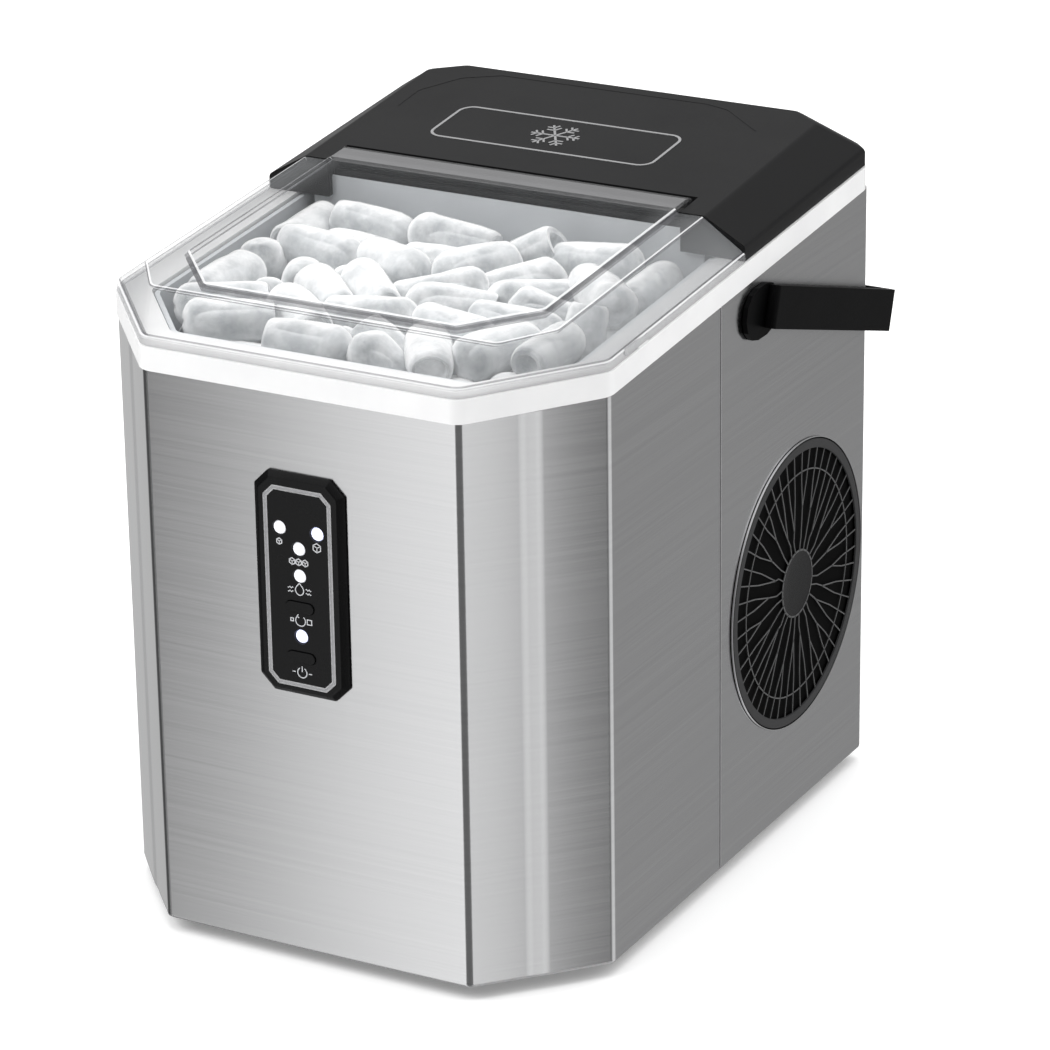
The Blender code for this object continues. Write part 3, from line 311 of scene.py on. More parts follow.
# narrow strips along the lid's creases: painted shade and a painted highlight
EDGE_PAINTED_SHADE = clear_lid("lid_edge_painted_shade", (0.10, 0.10, 0.11), 0.50, 0.78, start=0.0, end=1.0)
EDGE_PAINTED_HIGHLIGHT = clear_lid("lid_edge_painted_highlight", (0.92, 0.92, 0.93), 0.50, 0.80, start=0.0, end=1.0)
ICE = ice()
LAMP_WHITE = lamp_lens("lamp_white", (0.95, 0.95, 1.0), 0.45)
LAMP_BLUE = lamp_lens("lamp_blue", (0.66, 0.70, 1.0), 1.05)

SLOT_LOOKS = {"brushed_steel": STEEL, "white_gloss": WHITE, "pale_liner": PALE, "black_satin": BLACK,
              "black_matte": MATTE, "black_gloss": GLOSS, "smoky_clear": CLEAR, "black_rubber": RUBBER,
              "copper_pipe": COPPER, "nickel_plate": NICKEL, "aluminium_fins": FINS,
              "black_painted_steel": PAINTED, "circuit_board": BOARD, "lamp_lens": LAMP_WHITE,
              "silicone_hose": HOSE}
for node in NODES.values():
    for place in node.material_slots:
        place.material = SLOT_LOOKS[place.material.name.split(".")[0]]


# ---- building helpers
def linked(name, data):
    """A new object, in the scene."""
    obj = bpy.data.objects.new(name, data)
    bpy.context.scene.collection.objects.link(obj)
    return obj


def new_object(name, mesh, looks, body, flat=True):
    """A piece drawn in the cabinet's frame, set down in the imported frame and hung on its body."""
    obj = linked(name, mesh)
    for look in looks if isinstance(looks, list) else [looks]:
        mesh.materials.append(look)
    mesh.transform(Matrix.Translation(MIDDLE))
    if flat:
        obj.modifiers.new("flat_faces", "WEIGHTED_NORMAL").keep_sharp = True
    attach(obj, body)
    return obj


def mesh_of(bm, name, angle=35):
    bmesh.ops.recalc_face_normals(bm, faces=bm.faces)
    mesh = bpy.data.meshes.new(name)
    bm.to_mesh(mesh)
    bm.free()
    mesh.shade_smooth()
    mesh.set_sharp_from_angle(angle=math.radians(angle))
    return mesh


def face_up(mesh):
    """Turn an open shell's faces outwards, judged by its largest face."""
    largest = max(mesh.polygons, key=lambda polygon: polygon.area)
    if largest.normal.z < 0:
        mesh.flip_normals()
    return mesh


def settle(obj, angle=35):
    """Work an object's modifiers into its mesh."""
    evaluated = obj.evaluated_get(bpy.context.evaluated_depsgraph_get())
    mesh = bpy.data.meshes.new_from_object(evaluated)
    mesh.name = obj.name
    obj.modifiers.clear()
    obj.data = mesh
    mesh.shade_smooth()
    mesh.set_sharp_from_angle(angle=math.radians(angle))
    return obj


def worked(mesh, kind, angle=35, **settings):
    """A copy of a mesh with one modifier worked into it."""
    helper = linked("helper", mesh)
    modifier = helper.modifiers.new("work", kind)
    for key, value in settings.items():
        setattr(modifier, key, value)
    settle(helper, angle)
    result = helper.data
    bpy.data.objects.remove(helper, do_unlink=True)
    return result


def bevelled(mesh, width, segments=3, angle=40):
    """A copy of a mesh with its sharp edges rounded."""
    return worked(mesh, "BEVEL", width=width, segments=segments, limit_method="ANGLE",
                  angle_limit=math.radians(angle), harden_normals=False)


def shelled(mesh, thickness, angle=35):
    """A copy of an open mesh, thickened inwards."""
    return worked(mesh, "SOLIDIFY", angle, thickness=thickness, offset=-1, use_even_offset=True)


def loft(bm, loops):
    """Faces between closed loops of vertices, each above the last."""
    count = len(loops[0])
    for lower, upper in zip(loops, loops[1:]):
        for i in range(count):
            bm.faces.new((lower[i], lower[(i + 1) % count], upper[(i + 1) % count], upper[i]))


def cut_away(mesh, *tools):
    """A copy of a mesh with other meshes cut out of it."""
    helper = linked("helper", mesh)
    tool_objects = []
    for tool in tools:
        obj = linked("tool", tool)
        cut = helper.modifiers.new("cut", "BOOLEAN")
        cut.operation, cut.object = "DIFFERENCE", obj
        tool_objects.append(obj)
    settle(helper)
    result = helper.data
    for obj in [helper, *tool_objects]:
        bpy.data.objects.remove(obj, do_unlink=True)
    return result


def joined(*meshes):
    bm = bmesh.new()
    for mesh in meshes:
        bm.from_mesh(mesh)
    return mesh_of(bm, "joined")


def rounded(outline, radius, steps=6, closed=True):
    """Round the corners of a flat outline; radius is one number, or one per corner."""
    count = len(outline)
    radii = [radius] * count if isinstance(radius, float) else radius
    result = []
    for i, corner in enumerate(outline):
        if (not closed and i in (0, count - 1)) or not radii[i]:
            result.append(tuple(corner))
            continue
        corner = Vector(corner)
        a = (Vector(outline[i - 1]) - corner).normalized()
        b = (Vector(outline[(i + 1) % count]) - corner).normalized()
        half = a.angle(b) / 2
        reach = radii[i] / math.tan(half)
        centre = corner + (a + b).normalized() * radii[i] / math.sin(half)
        start, end = corner + a * reach - centre, corner + b * reach - centre
        sweep = start.angle_signed(end)
        for k in range(steps + 1):
            result.append(tuple(centre + Matrix.Rotation(-sweep * k / steps, 2) @ start))
    return result


def circle(radius, sides, x=0.0, y=0.0):
    return [(x + radius * math.cos(2 * math.pi * i / sides), y + radius * math.sin(2 * math.pi * i / sides))
            for i in range(sides)]


def pill(half_length, radius):
    steps = 10
    points = []
    for side in (1, -1):
        for i in range(steps + 1):
            angle = math.pi * i / steps - math.pi / 2
            points.append((side * (half_length + radius * math.cos(angle)), side * radius * math.sin(angle)))
    return points


def plate_mesh(outlines, low, high):
    """A flat plate between two heights; outlines after the first are holes."""
    data = bpy.data.curves.new("plate", "CURVE")
    data.dimensions, data.fill_mode, data.extrude = "2D", "BOTH", (high - low) / 2
    for outline in outlines:
        spline = data.splines.new("POLY")
        spline.points.add(len(outline) - 1)
        for point, (x, y) in zip(spline.points, outline):
            point.co = (x, y, 0, 1)
        spline.use_cyclic_u = True
    helper = linked("plate", data)
    bpy.context.view_layer.update()
    mesh = bpy.data.meshes.new_from_object(helper.evaluated_get(bpy.context.evaluated_depsgraph_get()))
    bpy.data.objects.remove(helper, do_unlink=True)
    bm = bmesh.new()
    bm.from_mesh(mesh)
    bmesh.ops.remove_doubles(bm, verts=bm.verts, dist=0.00001)
    mesh = mesh_of(bm, "plate")
    mesh.transform(Matrix.Translation((0, 0, (low + high) / 2)))
    return mesh


def lathe_mesh(profile, sides, closed=True):
    """Turn an outline of (radius, height) about Z."""
    bm = bmesh.new()
    rings = []
    for k in range(sides):
        angle = 2 * math.pi * k / sides
        rings.append([bm.verts.new((r * math.cos(angle), r * math.sin(angle), h)) for r, h in profile])
    count = len(profile)
    for k in range(sides):
        a, b = rings[k], rings[(k + 1) % sides]
        for i in range(count if closed else count - 1):
            j = (i + 1) % count
            bm.faces.new((a[i], b[i], b[j], a[j]))
    bmesh.ops.remove_doubles(bm, verts=bm.verts, dist=0.000002)
    return mesh_of(bm, "lathe")


def strip_mesh(path, width, low, high, closed=True):
    """A band of a given width that follows a flat path, between two heights."""
    bm = bmesh.new()
    count = len(path)
    sections = []
    for i, point in enumerate(path):
        before = Vector(path[i - 1]) if closed or i else None
        after = Vector(path[(i + 1) % count]) if closed or i < count - 1 else None
        here = Vector(point)
        a = (here - before).normalized() if before is not None else (after - here).normalized()
        b = (after - here).normalized() if after is not None else a
        along = (a + b).normalized()
        side = Vector((-along.y, along.x)) * (width / 2) / max(0.3, along.dot(a))
        sections.append([bm.verts.new((*(here - side), low)), bm.verts.new((*(here + side), low)),
                         bm.verts.new((*(here + side), high)), bm.verts.new((*(here - side), high))])
    for i in range(count if closed else count - 1):
        a, b = sections[i], sections[(i + 1) % count]
        for k in range(4):
            bm.faces.new((a[k], b[k], b[(k + 1) % 4], a[(k + 1) % 4]))
    if not closed:
        bm.faces.new(sections[0])
        bm.faces.new(sections[-1])
    return mesh_of(bm, "strip")


def box_mesh(low, high):
    bm = bmesh.new()
    low, high = Vector(low), Vector(high)
    bmesh.ops.create_cube(bm, size=1.0, matrix=Matrix.Translation((low + high) / 2)
                          @ Matrix.Diagonal((*(high - low), 1.0)))
    return mesh_of(bm, "box")


def rod_mesh(start, axis, length, radius, sides=32):
    turn = {"X": Matrix.Rotation(math.pi / 2, 4, "Y"), "Y": Matrix.Rotation(-math.pi / 2, 4, "X"),
            "Z": Matrix.Identity(4)}[axis]
    bm = bmesh.new()
    bmesh.ops.create_cone(bm, cap_ends=True, segments=sides, radius1=radius, radius2=radius,
                          depth=length, matrix=Matrix.Translation(start) @ turn
                          @ Matrix.Translation((0, 0, length / 2)))
    return mesh_of(bm, "rod")


FACE_FRONT = Matrix.Rotation(math.pi / 2, 4, "X")
FACE_RIGHT = Matrix.Rotation(math.pi / 2, 4, "Z") @ Matrix.Rotation(math.pi / 2, 4, "X")


def moved(mesh, matrix):
    mesh.transform(matrix)
    return mesh


def on_front(mesh, x=0.0, y=0.0, z=0.0):
    """Stand a flat mesh up so that its top faces the front."""
    return moved(mesh, Matrix.Translation((x, y, z)) @ FACE_FRONT)


def on_right(mesh, x=0.0, y=0.0, z=0.0):
    """Stand a flat mesh up so that its top faces the right."""
    return moved(mesh, Matrix.Translation((x, y, z)) @ FACE_RIGHT)


def tilted(mesh):
    """Lay a mesh built on Z = 0 onto the sloping top."""
    return moved(mesh, Matrix(((1, 0, 0, 0), (0, 1, 0, 0), (0, SLOPE, 1, RIM_TOP), (0, 0, 0, 1))))


def faceted(half_w, front, back, cut_x, cut_y):
    return [(-half_w, front + cut_y), (-half_w + cut_x, front), (half_w - cut_x, front),
            (half_w, front + cut_y), (half_w, back), (-half_w, back)]


# ---- steel wraps
SHEET, ROLL = 0.0010, 0.0012


def wall_mesh(path):
    """Sheet standing along an open plan path, with the lower edge rolled slightly in."""
    bm = bmesh.new()
    count = len(path)
    normals = []
    for i in range(count):
        a = Vector(path[max(i - 1, 0)])
        b = Vector(path[min(i + 1, count - 1)])
        along = (b - a).normalized()
        normals.append(Vector((along.y, -along.x)))
    levels = [(0.0, -ROLL * 0.55), (ROLL * 0.35, -ROLL * 0.16), (ROLL, 0.0)]
    rows = []
    for z, shift in levels:
        rows.append([bm.verts.new((p[0] + n.x * shift, p[1] + n.y * shift, z))
                     for p, n in zip(path, normals)])
    tops = [RIM_TOP - RIM_HEIGHT - GAP + SLOPE * p[1] for p in path]
    for share in (0.25, 0.5, 0.75, 1.0):
        rows.append([bm.verts.new((p[0], p[1], ROLL + (top - ROLL) * share))
                     for p, top in zip(path, tops)])
    for a, b in zip(rows, rows[1:]):
        for i in range(count - 1):
            bm.faces.new((a[i], a[i + 1], b[i + 1], b[i]))
    mesh = bpy.data.meshes.new("wall")
    bm.to_mesh(mesh)
    bm.free()
    return shelled(mesh, SHEET)


def paint_edges(mesh):
    """Give the sheet's narrow cut faces the second material."""
    for polygon in mesh.polygons:
        side = min((mesh.vertices[a].co - mesh.vertices[b].co).length for a, b in polygon.edge_keys)
        if side <= SHEET * 1.15 and abs(polygon.normal.z) < 0.9 and polygon.area < 0.000004:
            polygon.material_index = 1


def clipped(half, low, high, c):
    """Upright rectangle with its four corners cut off."""
    return [(-half + c, low), (half - c, low), (half, low + c), (half, high - c), (half - c, high),
            (-half + c, high), (-half, high - c), (-half, low + c)]


def panel_outline(shrink):
    return clipped(PANEL_HIGH.x - shrink, PANEL_LOW.z + shrink, PANEL_HIGH.z - shrink, 0.0062 - shrink * 0.6)


CROWN = 0.00055


def make_steel():
    body = faceted(HALF_W, FRONT_Y, REAR_Y, CORNER_X, CORNER_Y)
    seam = SEAM_Y - GAP / 2
    corners = [(-HALF_W, seam)] + body[:4] + [(HALF_W, seam)]
    plan = [Vector(p) for p in rounded(corners, [0.0, 0.0042, 0.0042, 0.0042, 0.0042, 0.0], 7, closed=False)]
    path = []
    for index, rise in enumerate((0.0, 0.00035, CROWN, 0.00035, 0.0)):
        # each run lies between one bend's last point and the next bend's first, and bows outwards
        start, end = plan[8 * index], plan[8 * index + 1]
        out = Vector(((end - start).y, -(end - start).x)).normalized()
        path += [start.lerp(end, k / 16) + out * rise * 4 * (k / 16) * (1 - k / 16) for k in range(16)]
        if index < 4:
            path += plan[8 * index + 1:8 * index + 8]
    path.append(plan[-1])
    front = wall_mesh([(p.x, p.y + (CROWN if p.y < FRONT_Y + 0.0200 else 0.0)) for p in path])
    opening = on_front(plate_mesh([rounded(panel_outline(0.0018), 0.0012, 3)], -0.01, 0.01), 0, FRONT_Y, 0)
    front = cut_away(front, opening)
    paint_edges(front)
    piece = new_object("steel_front", front, [STEEL, CUT], "cabinet")
    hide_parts("front_wrap")

    seam = SEAM_Y + GAP / 2
    plan = rounded([(HALF_W, seam), (HALF_W, REAR_Y), (-HALF_W, REAR_Y), (-HALF_W, seam)],
                   [0.0, 0.0045, 0.0045, 0.0], 7, closed=False)
    rear = wall_mesh(plan)
    tools = [rod_mesh((HALF_W - 0.01, FAN.y, FAN.z), "X", 0.02, GRILLE_R - 0.0020, 96)]
    tools.append(joined(*[moved(plate_mesh([pill(0.0320, 0.0025)], -0.01, 0.01), Matrix.Translation(
        (-HALF_W, 0.0325 + 0.012 * i, 0.0850)) @ Matrix.Rotation(math.pi / 2, 4, "Y")) for i in range(8)]))
    louvre = [pill(0.0050, 0.0020)]
    tools.append(joined(*[on_front(plate_mesh(louvre, -0.01, 0.01), -0.063 + 0.020 * i, REAR_Y, z)
                          for i in range(7) for z in (0.102, 0.114, 0.126, 0.138)]))
    gland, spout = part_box("cord_gland"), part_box("drain_spout")
    holes = []
    for (low, high), radius in ((gland, 0.0063), (spout, 0.0083)):
        middle = (low + high) / 2 - MIDDLE
        holes.append(rod_mesh((middle.x, REAR_Y - 0.01, middle.z), "Y", 0.02, radius, 32))
    tools.append(joined(*holes))
    rear = cut_away(rear, *tools)
    paint_edges(rear)
    piece = new_object("steel_rear", rear, [STEEL, CUT], "cabinet")
    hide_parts("rear_wrap")


def make_seams():
    """The bright fold where the front sheet laps the rear one, on each side."""
    top = RIM_TOP - RIM_HEIGHT - 2 * GAP + SLOPE * SEAM_Y
    for side, name in ((-1, "left"), (1, "right")):
        fold = bevelled(box_mesh((side * HALF_W - 0.0003, SEAM_Y - 0.0004, 0.0012),
                                 (side * HALF_W + 0.0003, SEAM_Y + 0.0001, top)), 0.00012, 2)
        new_object("steel_fold_" + name, fold, CUT, "cabinet")


# ---- rim
def make_rim():
    wide = [(-HALF_W - 0.0007, FRONT_Y + CORNER_Y - 0.0003), (-HALF_W + CORNER_X - 0.0004, FRONT_Y - 0.0007),
            (HALF_W - CORNER_X + 0.0004, FRONT_Y - 0.0007), (HALF_W + 0.0007, FRONT_Y + CORNER_Y - 0.0003),
            (HALF_W + 0.0007, REAR_Y + 0.0007), (-HALF_W - 0.0007, REAR_Y + 0.0007)]
    outer = rounded(wide, 0.0090, 10)
    inner = rounded(faceted(0.0965, -0.1235, 0.1270, 0.030, 0.0334), 0.0060, 8)
    rim = bevelled(plate_mesh([outer, inner], -RIM_HEIGHT, 0.0), 0.0016, 4, 50)
    piece = new_object("rim_white", tilted(rim), WHITE, "cabinet")
    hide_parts("top_rim")


# ---- lid
def lid_path(half_w, front, cut_x, cut_y, radius, height):
    """Open path round the lid's front and sides, from the left rear to the right rear."""
    corners = [(-half_w, LID_BACK_Y), (-half_w, front + cut_y), (-half_w + cut_x, front),
               (half_w - cut_x, front), (half_w, front + cut_y), (half_w, LID_BACK_Y)]
    plan = rounded(corners, [0.0, radius, radius, radius, radius, 0.0], 6, closed=False)
    return [(x, y, height) for x, y in plan]


def make_lid():
    wide, front = HALF_W + 0.0002, FRONT_Y - 0.0002
    low, high = LID_RISE, LID_RISE + LID_PANEL
    # (half width, front, cut x, cut y, corner radius, height, material of the band above it)
    # material 1 bands are painted shade and material 2 bands a painted highlight
    rings = [
        (wide, front, CORNER_X, CORNER_Y, 0.0080, GAP, 4),
        (wide, front, CORNER_X, CORNER_Y, 0.0080, 0.0031, 0),
        (wide - 0.0002, front + 0.0002, CORNER_X, CORNER_Y, 0.0078, 0.0037, 2),
        (wide - 0.0008, front + 0.0008, CORNER_X - 0.0002, CORNER_Y - 0.0002, 0.0074, 0.0041, 1),
        (wide - 0.0014, front + 0.0014, CORNER_X - 0.0004, CORNER_Y - 0.0004, 0.0070, 0.0046, 0),
        (0.0922, FRONT_Y + 0.0182, 0.0156, 0.0208, 0.0052, low - 0.0006, 1),
        (0.0917, FRONT_Y + 0.0188, 0.0152, 0.0204, 0.0050, low - 0.0002, 2),
        (0.0911, FRONT_Y + 0.0194, 0.0150, 0.0200, 0.0048, low, 0),
        (TONGUE_W + 0.0008, -0.1163, 0.0242, 0.0268, 0.0030, low, 1),
        (TONGUE_W + 0.0001, -0.1156, 0.0240, 0.0265, 0.0028, low + 0.0004, 1),
        (TONGUE_W - 0.0003, -0.1152, 0.0240, 0.0265, 0.0026, high - 0.0004, 2),
        (TONGUE_W - 0.0010, -0.1145, 0.0238, 0.0262, 0.0024, high, 0),
    ]
    bm = bmesh.new()
    loops = [[bm.verts.new(p) for p in lid_path(*ring[:6])] for ring in rings]
    for ring, lower, upper in zip(rings, loops, loops[1:]):
        for i in range(len(lower) - 1):
            bm.faces.new((lower[i], lower[i + 1], upper[i + 1], upper[i])).material_index = ring[6]
    bm.faces.new(loops[-1])
    # the tongue runs on behind the lid's back edge, down into the knuckle
    back = [(LID_BACK_Y + 0.004, high), (HINGE.y - 0.001, high), (HINGE.y + 0.0018, high - 0.0005),
            (HINGE.y + 0.0036, high - 0.0022)]
    # material 3 on the tongue's faces is painted shade
    inside = TONGUE_W - 0.0010
    left, right = loops[-1][0], loops[-1][-1]
    for y, height in back:
        a, b = bm.verts.new((-inside, y, height)), bm.verts.new((inside, y, height))
        bm.faces.new((left, right, b, a)).material_index = 3
        left, right = a, b
    shell_mesh = shelled(tilted(face_up(mesh_of(bm, "lid", 50))), 0.0016, 50)
    notch = plate_mesh([pill(0.0085, 0.0018)], -0.0015, 0.0015)
    on_right(notch, HALF_W + 0.0010, -0.0720, RIM_TOP - SLOPE * 0.0720 + 0.0022)
    shell_mesh = cut_away(shell_mesh, notch)
    bore = 0.0019
    profile = [(bore, -TONGUE_W), (HINGE_R - 0.0005, -TONGUE_W), (HINGE_R, -TONGUE_W + 0.0005),
               (HINGE_R, TONGUE_W - 0.0005), (HINGE_R - 0.0005, TONGUE_W), (bore, TONGUE_W)]
    knuckle = lathe_mesh(profile, 24)
    for polygon in knuckle.polygons:
        polygon.material_index = 5
    knuckle.transform(Matrix.Translation(HINGE) @ Matrix.Rotation(math.pi / 2, 4, "Y"))
    bm = bmesh.new()
    bm.from_mesh(shell_mesh)
    bm.from_mesh(knuckle)
    whole = bpy.data.meshes.new("lid")
    bm.to_mesh(whole)
    bm.free()
    piece = new_object("lid_window", whole, [CLEAR, EDGE_PAINTED_SHADE, EDGE_PAINTED_HIGHLIGHT, TONGUE_PAINTED_SHADE, SKIRT, KNUCKLE],
                       "lid")
    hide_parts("lid")


# ---- rear cover
def cover_outline(half_w, back, corner_x, corner_y, round_by):
    notch_x, notch_y = TONGUE_W + 0.0010, HINGE.y + HINGE_R + 0.0010
    front = LID_BACK_Y + 0.0010
    corners = [(-half_w, back - corner_y), (-half_w, front), (-notch_x, front), (-notch_x, notch_y),
               (notch_x, notch_y), (notch_x, front), (half_w, front), (half_w, back - corner_y),
               (half_w - corner_x, back), (-half_w + corner_x, back)]
    radii = [round_by, 0.0, 0.0, 0.0, 0.0, 0.0, 0.0, round_by, round_by, round_by]
    return rounded(corners, radii, 6)


def make_cover():
    front = LID_BACK_Y + 0.0010
    wide, back = HALF_W - 0.0003, REAR_Y - 0.0002
    steps = [
        (wide, back, 0.0040, 0.0040, 0.0030, GAP, GAP),
        (wide, back, 0.0040, 0.0040, 0.0030, 0.0050, 0.0056),
        (wide - 0.0003, back - 0.0003, 0.0042, 0.0042, 0.0030, 0.0062, 0.0068),
        (wide - 0.0012, back - 0.0006, 0.0048, 0.0046, 0.0032, 0.0070, 0.0079),
        (0.0930, REAR_Y - 0.0038, 0.0132, 0.0090, 0.0048, 0.0158, 0.0185),
        (0.0922, REAR_Y - 0.0043, 0.0138, 0.0094, 0.0050, 0.0164, 0.0192),
        (0.0910, REAR_Y - 0.0053, 0.0140, 0.0095, 0.0050, 0.0166, 0.0195),
    ]
    bm = bmesh.new()
    loops = []
    for half_w, edge, cx, cy, r, h_front, h_rear in steps:
        span = edge - front
        loops.append([bm.verts.new((x, y, h_front + (h_rear - h_front) * (y - front) / span))
                      for x, y in cover_outline(half_w, edge, cx, cy, r)])
    loft(bm, loops)
    bm.faces.new(loops[-1])
    mesh = shelled(tilted(face_up(mesh_of(bm, "cover", 28))), 0.0020, 28)
    piece = new_object("cover_rear", mesh, BLACK, "cabinet")
    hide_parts("rear_cover")

    top = 0.0166 + 0.00005
    rise = (0.0195 - 0.0166) / (REAR_Y - 0.0053 - front)

    def on_cover(mesh):
        """Lay a flat mesh onto the cover's top, which rises a little more than the rim."""
        mesh.transform(Matrix(((1, 0, 0, 0), (0, 1, 0, 0), (0, rise, 1, top - rise * front), (0, 0, 0, 1))))
        return tilted(mesh)

    under, above = -0.0001, 0.00012
    badge = [(-0.0555, 0.0595), (0.0475, 0.0595), (0.0475, 0.0930), (-0.0555, 0.0930)]
    line = strip_mesh(rounded(badge, 0.0060, 10), 0.0012, under, above)
    centre = (-0.0040, 0.0762)
    parts = [line]
    for k in range(6):
        turn = Matrix.Translation((*centre, 0)) @ Matrix.Rotation(math.pi * k / 3, 4, "Z")
        arm = strip_mesh([(0.0, 0.0), (0.0112, 0.0)], 0.0010, under, above, closed=False)
        parts.append(moved(arm, turn))
        for reach, length in ((0.0056, 0.0030), (0.0084, 0.0026)):
            for side in (-1, 1):
                ends = [(reach, 0.0), (reach + length * 0.62, side * length)]
                parts.append(moved(strip_mesh(ends, 0.0009, under, above, closed=False), turn))
    new_object("badge_snowflake", on_cover(joined(*parts)), SILVER, "cabinet")

    crease = [(-0.0830, 0.0840), (-0.0835, 0.1020), (-0.0730, 0.1205), (-0.0575, 0.1290), (0.0400, 0.1290),
              (0.0510, 0.1260), (0.0720, 0.1090)]
    groove = strip_mesh(rounded(crease, 0.0060, 6, closed=False), 0.0005, under, 0.00006, closed=False)
    new_object("cover_crease", on_cover(groove), BLACK, "cabinet")


# ---- carrying handle
def make_handle():
    inner, outer = HANDLE_IN, HANDLE_IN + HANDLE_T
    far_in, far_out, near = HANDLE_REACH, HANDLE_REACH + HANDLE_T, -0.0065
    corners = [(outer, near), (outer, far_out), (-outer, far_out), (-outer, near), (-inner, near),
               (-inner, far_in), (inner, far_in), (inner, near)]
    plan = rounded(corners, [0.0018, 0.0040, 0.0040, 0.0018, 0.0018, 0.0008, 0.0008, 0.0018], 6)
    mesh = bevelled(plate_mesh([plan], -HANDLE_W / 2, HANDLE_W / 2), 0.0014, 4, 50)
    tools = []
    for side in (-1, 1):
        start = HANDLE_IN - 0.002 if side > 0 else -HANDLE_IN - 0.0036
        tools.append(rod_mesh((start, 0, 0), "X", 0.0056, 0.0043, 32))
    mesh = cut_away(mesh, *tools)
    mesh.transform(Matrix.Translation(PIVOT) @ Matrix.Rotation(-HANDLE_ANGLE, 4, "X"))
    piece = new_object("handle_strap", mesh, MATTE, "handle")
    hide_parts("carry_handle")


# ---- side grille
def at_fan(mesh):
    """Stand a flat mesh on the right side, round the fan's axis."""
    return on_right(mesh, HALF_W + GAP, FAN.y, FAN.z)


def make_grille():
    flange = lathe_mesh([(0.0572, 0.0), (GRILLE_R - 0.0009, 0.0), (GRILLE_R - 0.0009, 0.0006),
                         (GRILLE_R - 0.0012, 0.0008), (0.0577, 0.0008), (0.0573, 0.0006)], 128)
    at_fan(flange)
    piece = new_object("grille_flange", flange, FLANGE, "cabinet")
    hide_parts("side_grille")

    shadow_gap = lathe_mesh([(GRILLE_R - 0.0009, 0.0), (GRILLE_R - 0.0003, 0.0), (GRILLE_R - 0.0003, 0.0004),
                             (GRILLE_R - 0.0009, 0.0004)], 128)
    trim = lathe_mesh([(GRILLE_R - 0.0003, 0.0), (GRILLE_R, 0.0), (GRILLE_R, 0.0005),
                       (GRILLE_R - 0.0003, 0.0007)], 128)
    for name, ring, look in (("grille_shadow_gap", shadow_gap, SHADOW_BLACK), ("grille_trim", trim, CUT)):
        at_fan(ring)
        new_object(name, ring, look, "cabinet")

    disc = lathe_mesh([(0.0, -0.0004), (0.0139, -0.0004), (0.0139, 0.0002), (0.0120, 0.0000),
                       (0.0080, -0.0001), (0.0040, -0.0002), (0.0, -0.0002)], 64, closed=False)
    at_fan(disc)
    new_object("grille_hub", disc, HUB, "cabinet")

    rib, height = 0.0005, 0.0003
    ribs = [lathe_mesh([(radius - width / 2, 0.0), (radius + width / 2, 0.0), (radius + width / 2, height),
                        (radius - width / 2, height)], 128)
            for radius, width in ((0.0485, rib), (0.0142, rib * 1.5))]
    count = 24
    for k in range(count):
        turn = Matrix.Rotation(2 * math.pi * (k + 0.5) / count, 4, "Z")
        bend = 0.0011 * math.sin(k * 2.4)
        fork = 0.0285 + 0.0060 * math.sin(k * 1.7)
        trunk = [(0.0138, 0.0), (0.0200, bend), (fork, 0.0)]
        ribs.append(moved(strip_mesh(trunk, rib, 0.0, height, closed=False), turn))
        for side in (-1, 1):
            spread = side * math.pi / count / 2
            end = Vector((0.0576 * math.cos(spread), 0.0576 * math.sin(spread)))
            middle = Vector((fork, 0.0)).lerp(end, 0.45) + Vector((0.0, side * 0.0007))
            branch = [(fork - 0.0003, 0.0), tuple(middle), tuple(end)]
            ribs.append(moved(strip_mesh(branch, rib, 0.0, height, closed=False), turn))
    web = joined(*ribs)
    at_fan(web)
    new_object("grille_ribs", web, VEIN, "cabinet")

    # a black disc behind the ribs paints the shade inside the grille
    mat = lathe_mesh([(0.0, -0.0012), (0.0574, -0.0012), (0.0574, -0.0007), (0.0, -0.0007)], 96, closed=False)
    at_fan(mat)
    new_object("grille_painted_shade_disc", mat, SHADOW_BLACK, "cabinet")


# ---- control panel
LAMPS = {"led_small_cube": LAMP_WHITE, "led_large_cube": LAMP_BLUE, "led_ice_full": LAMP_WHITE,
         "led_add_water": LAMP_WHITE, "led_power": LAMP_BLUE}


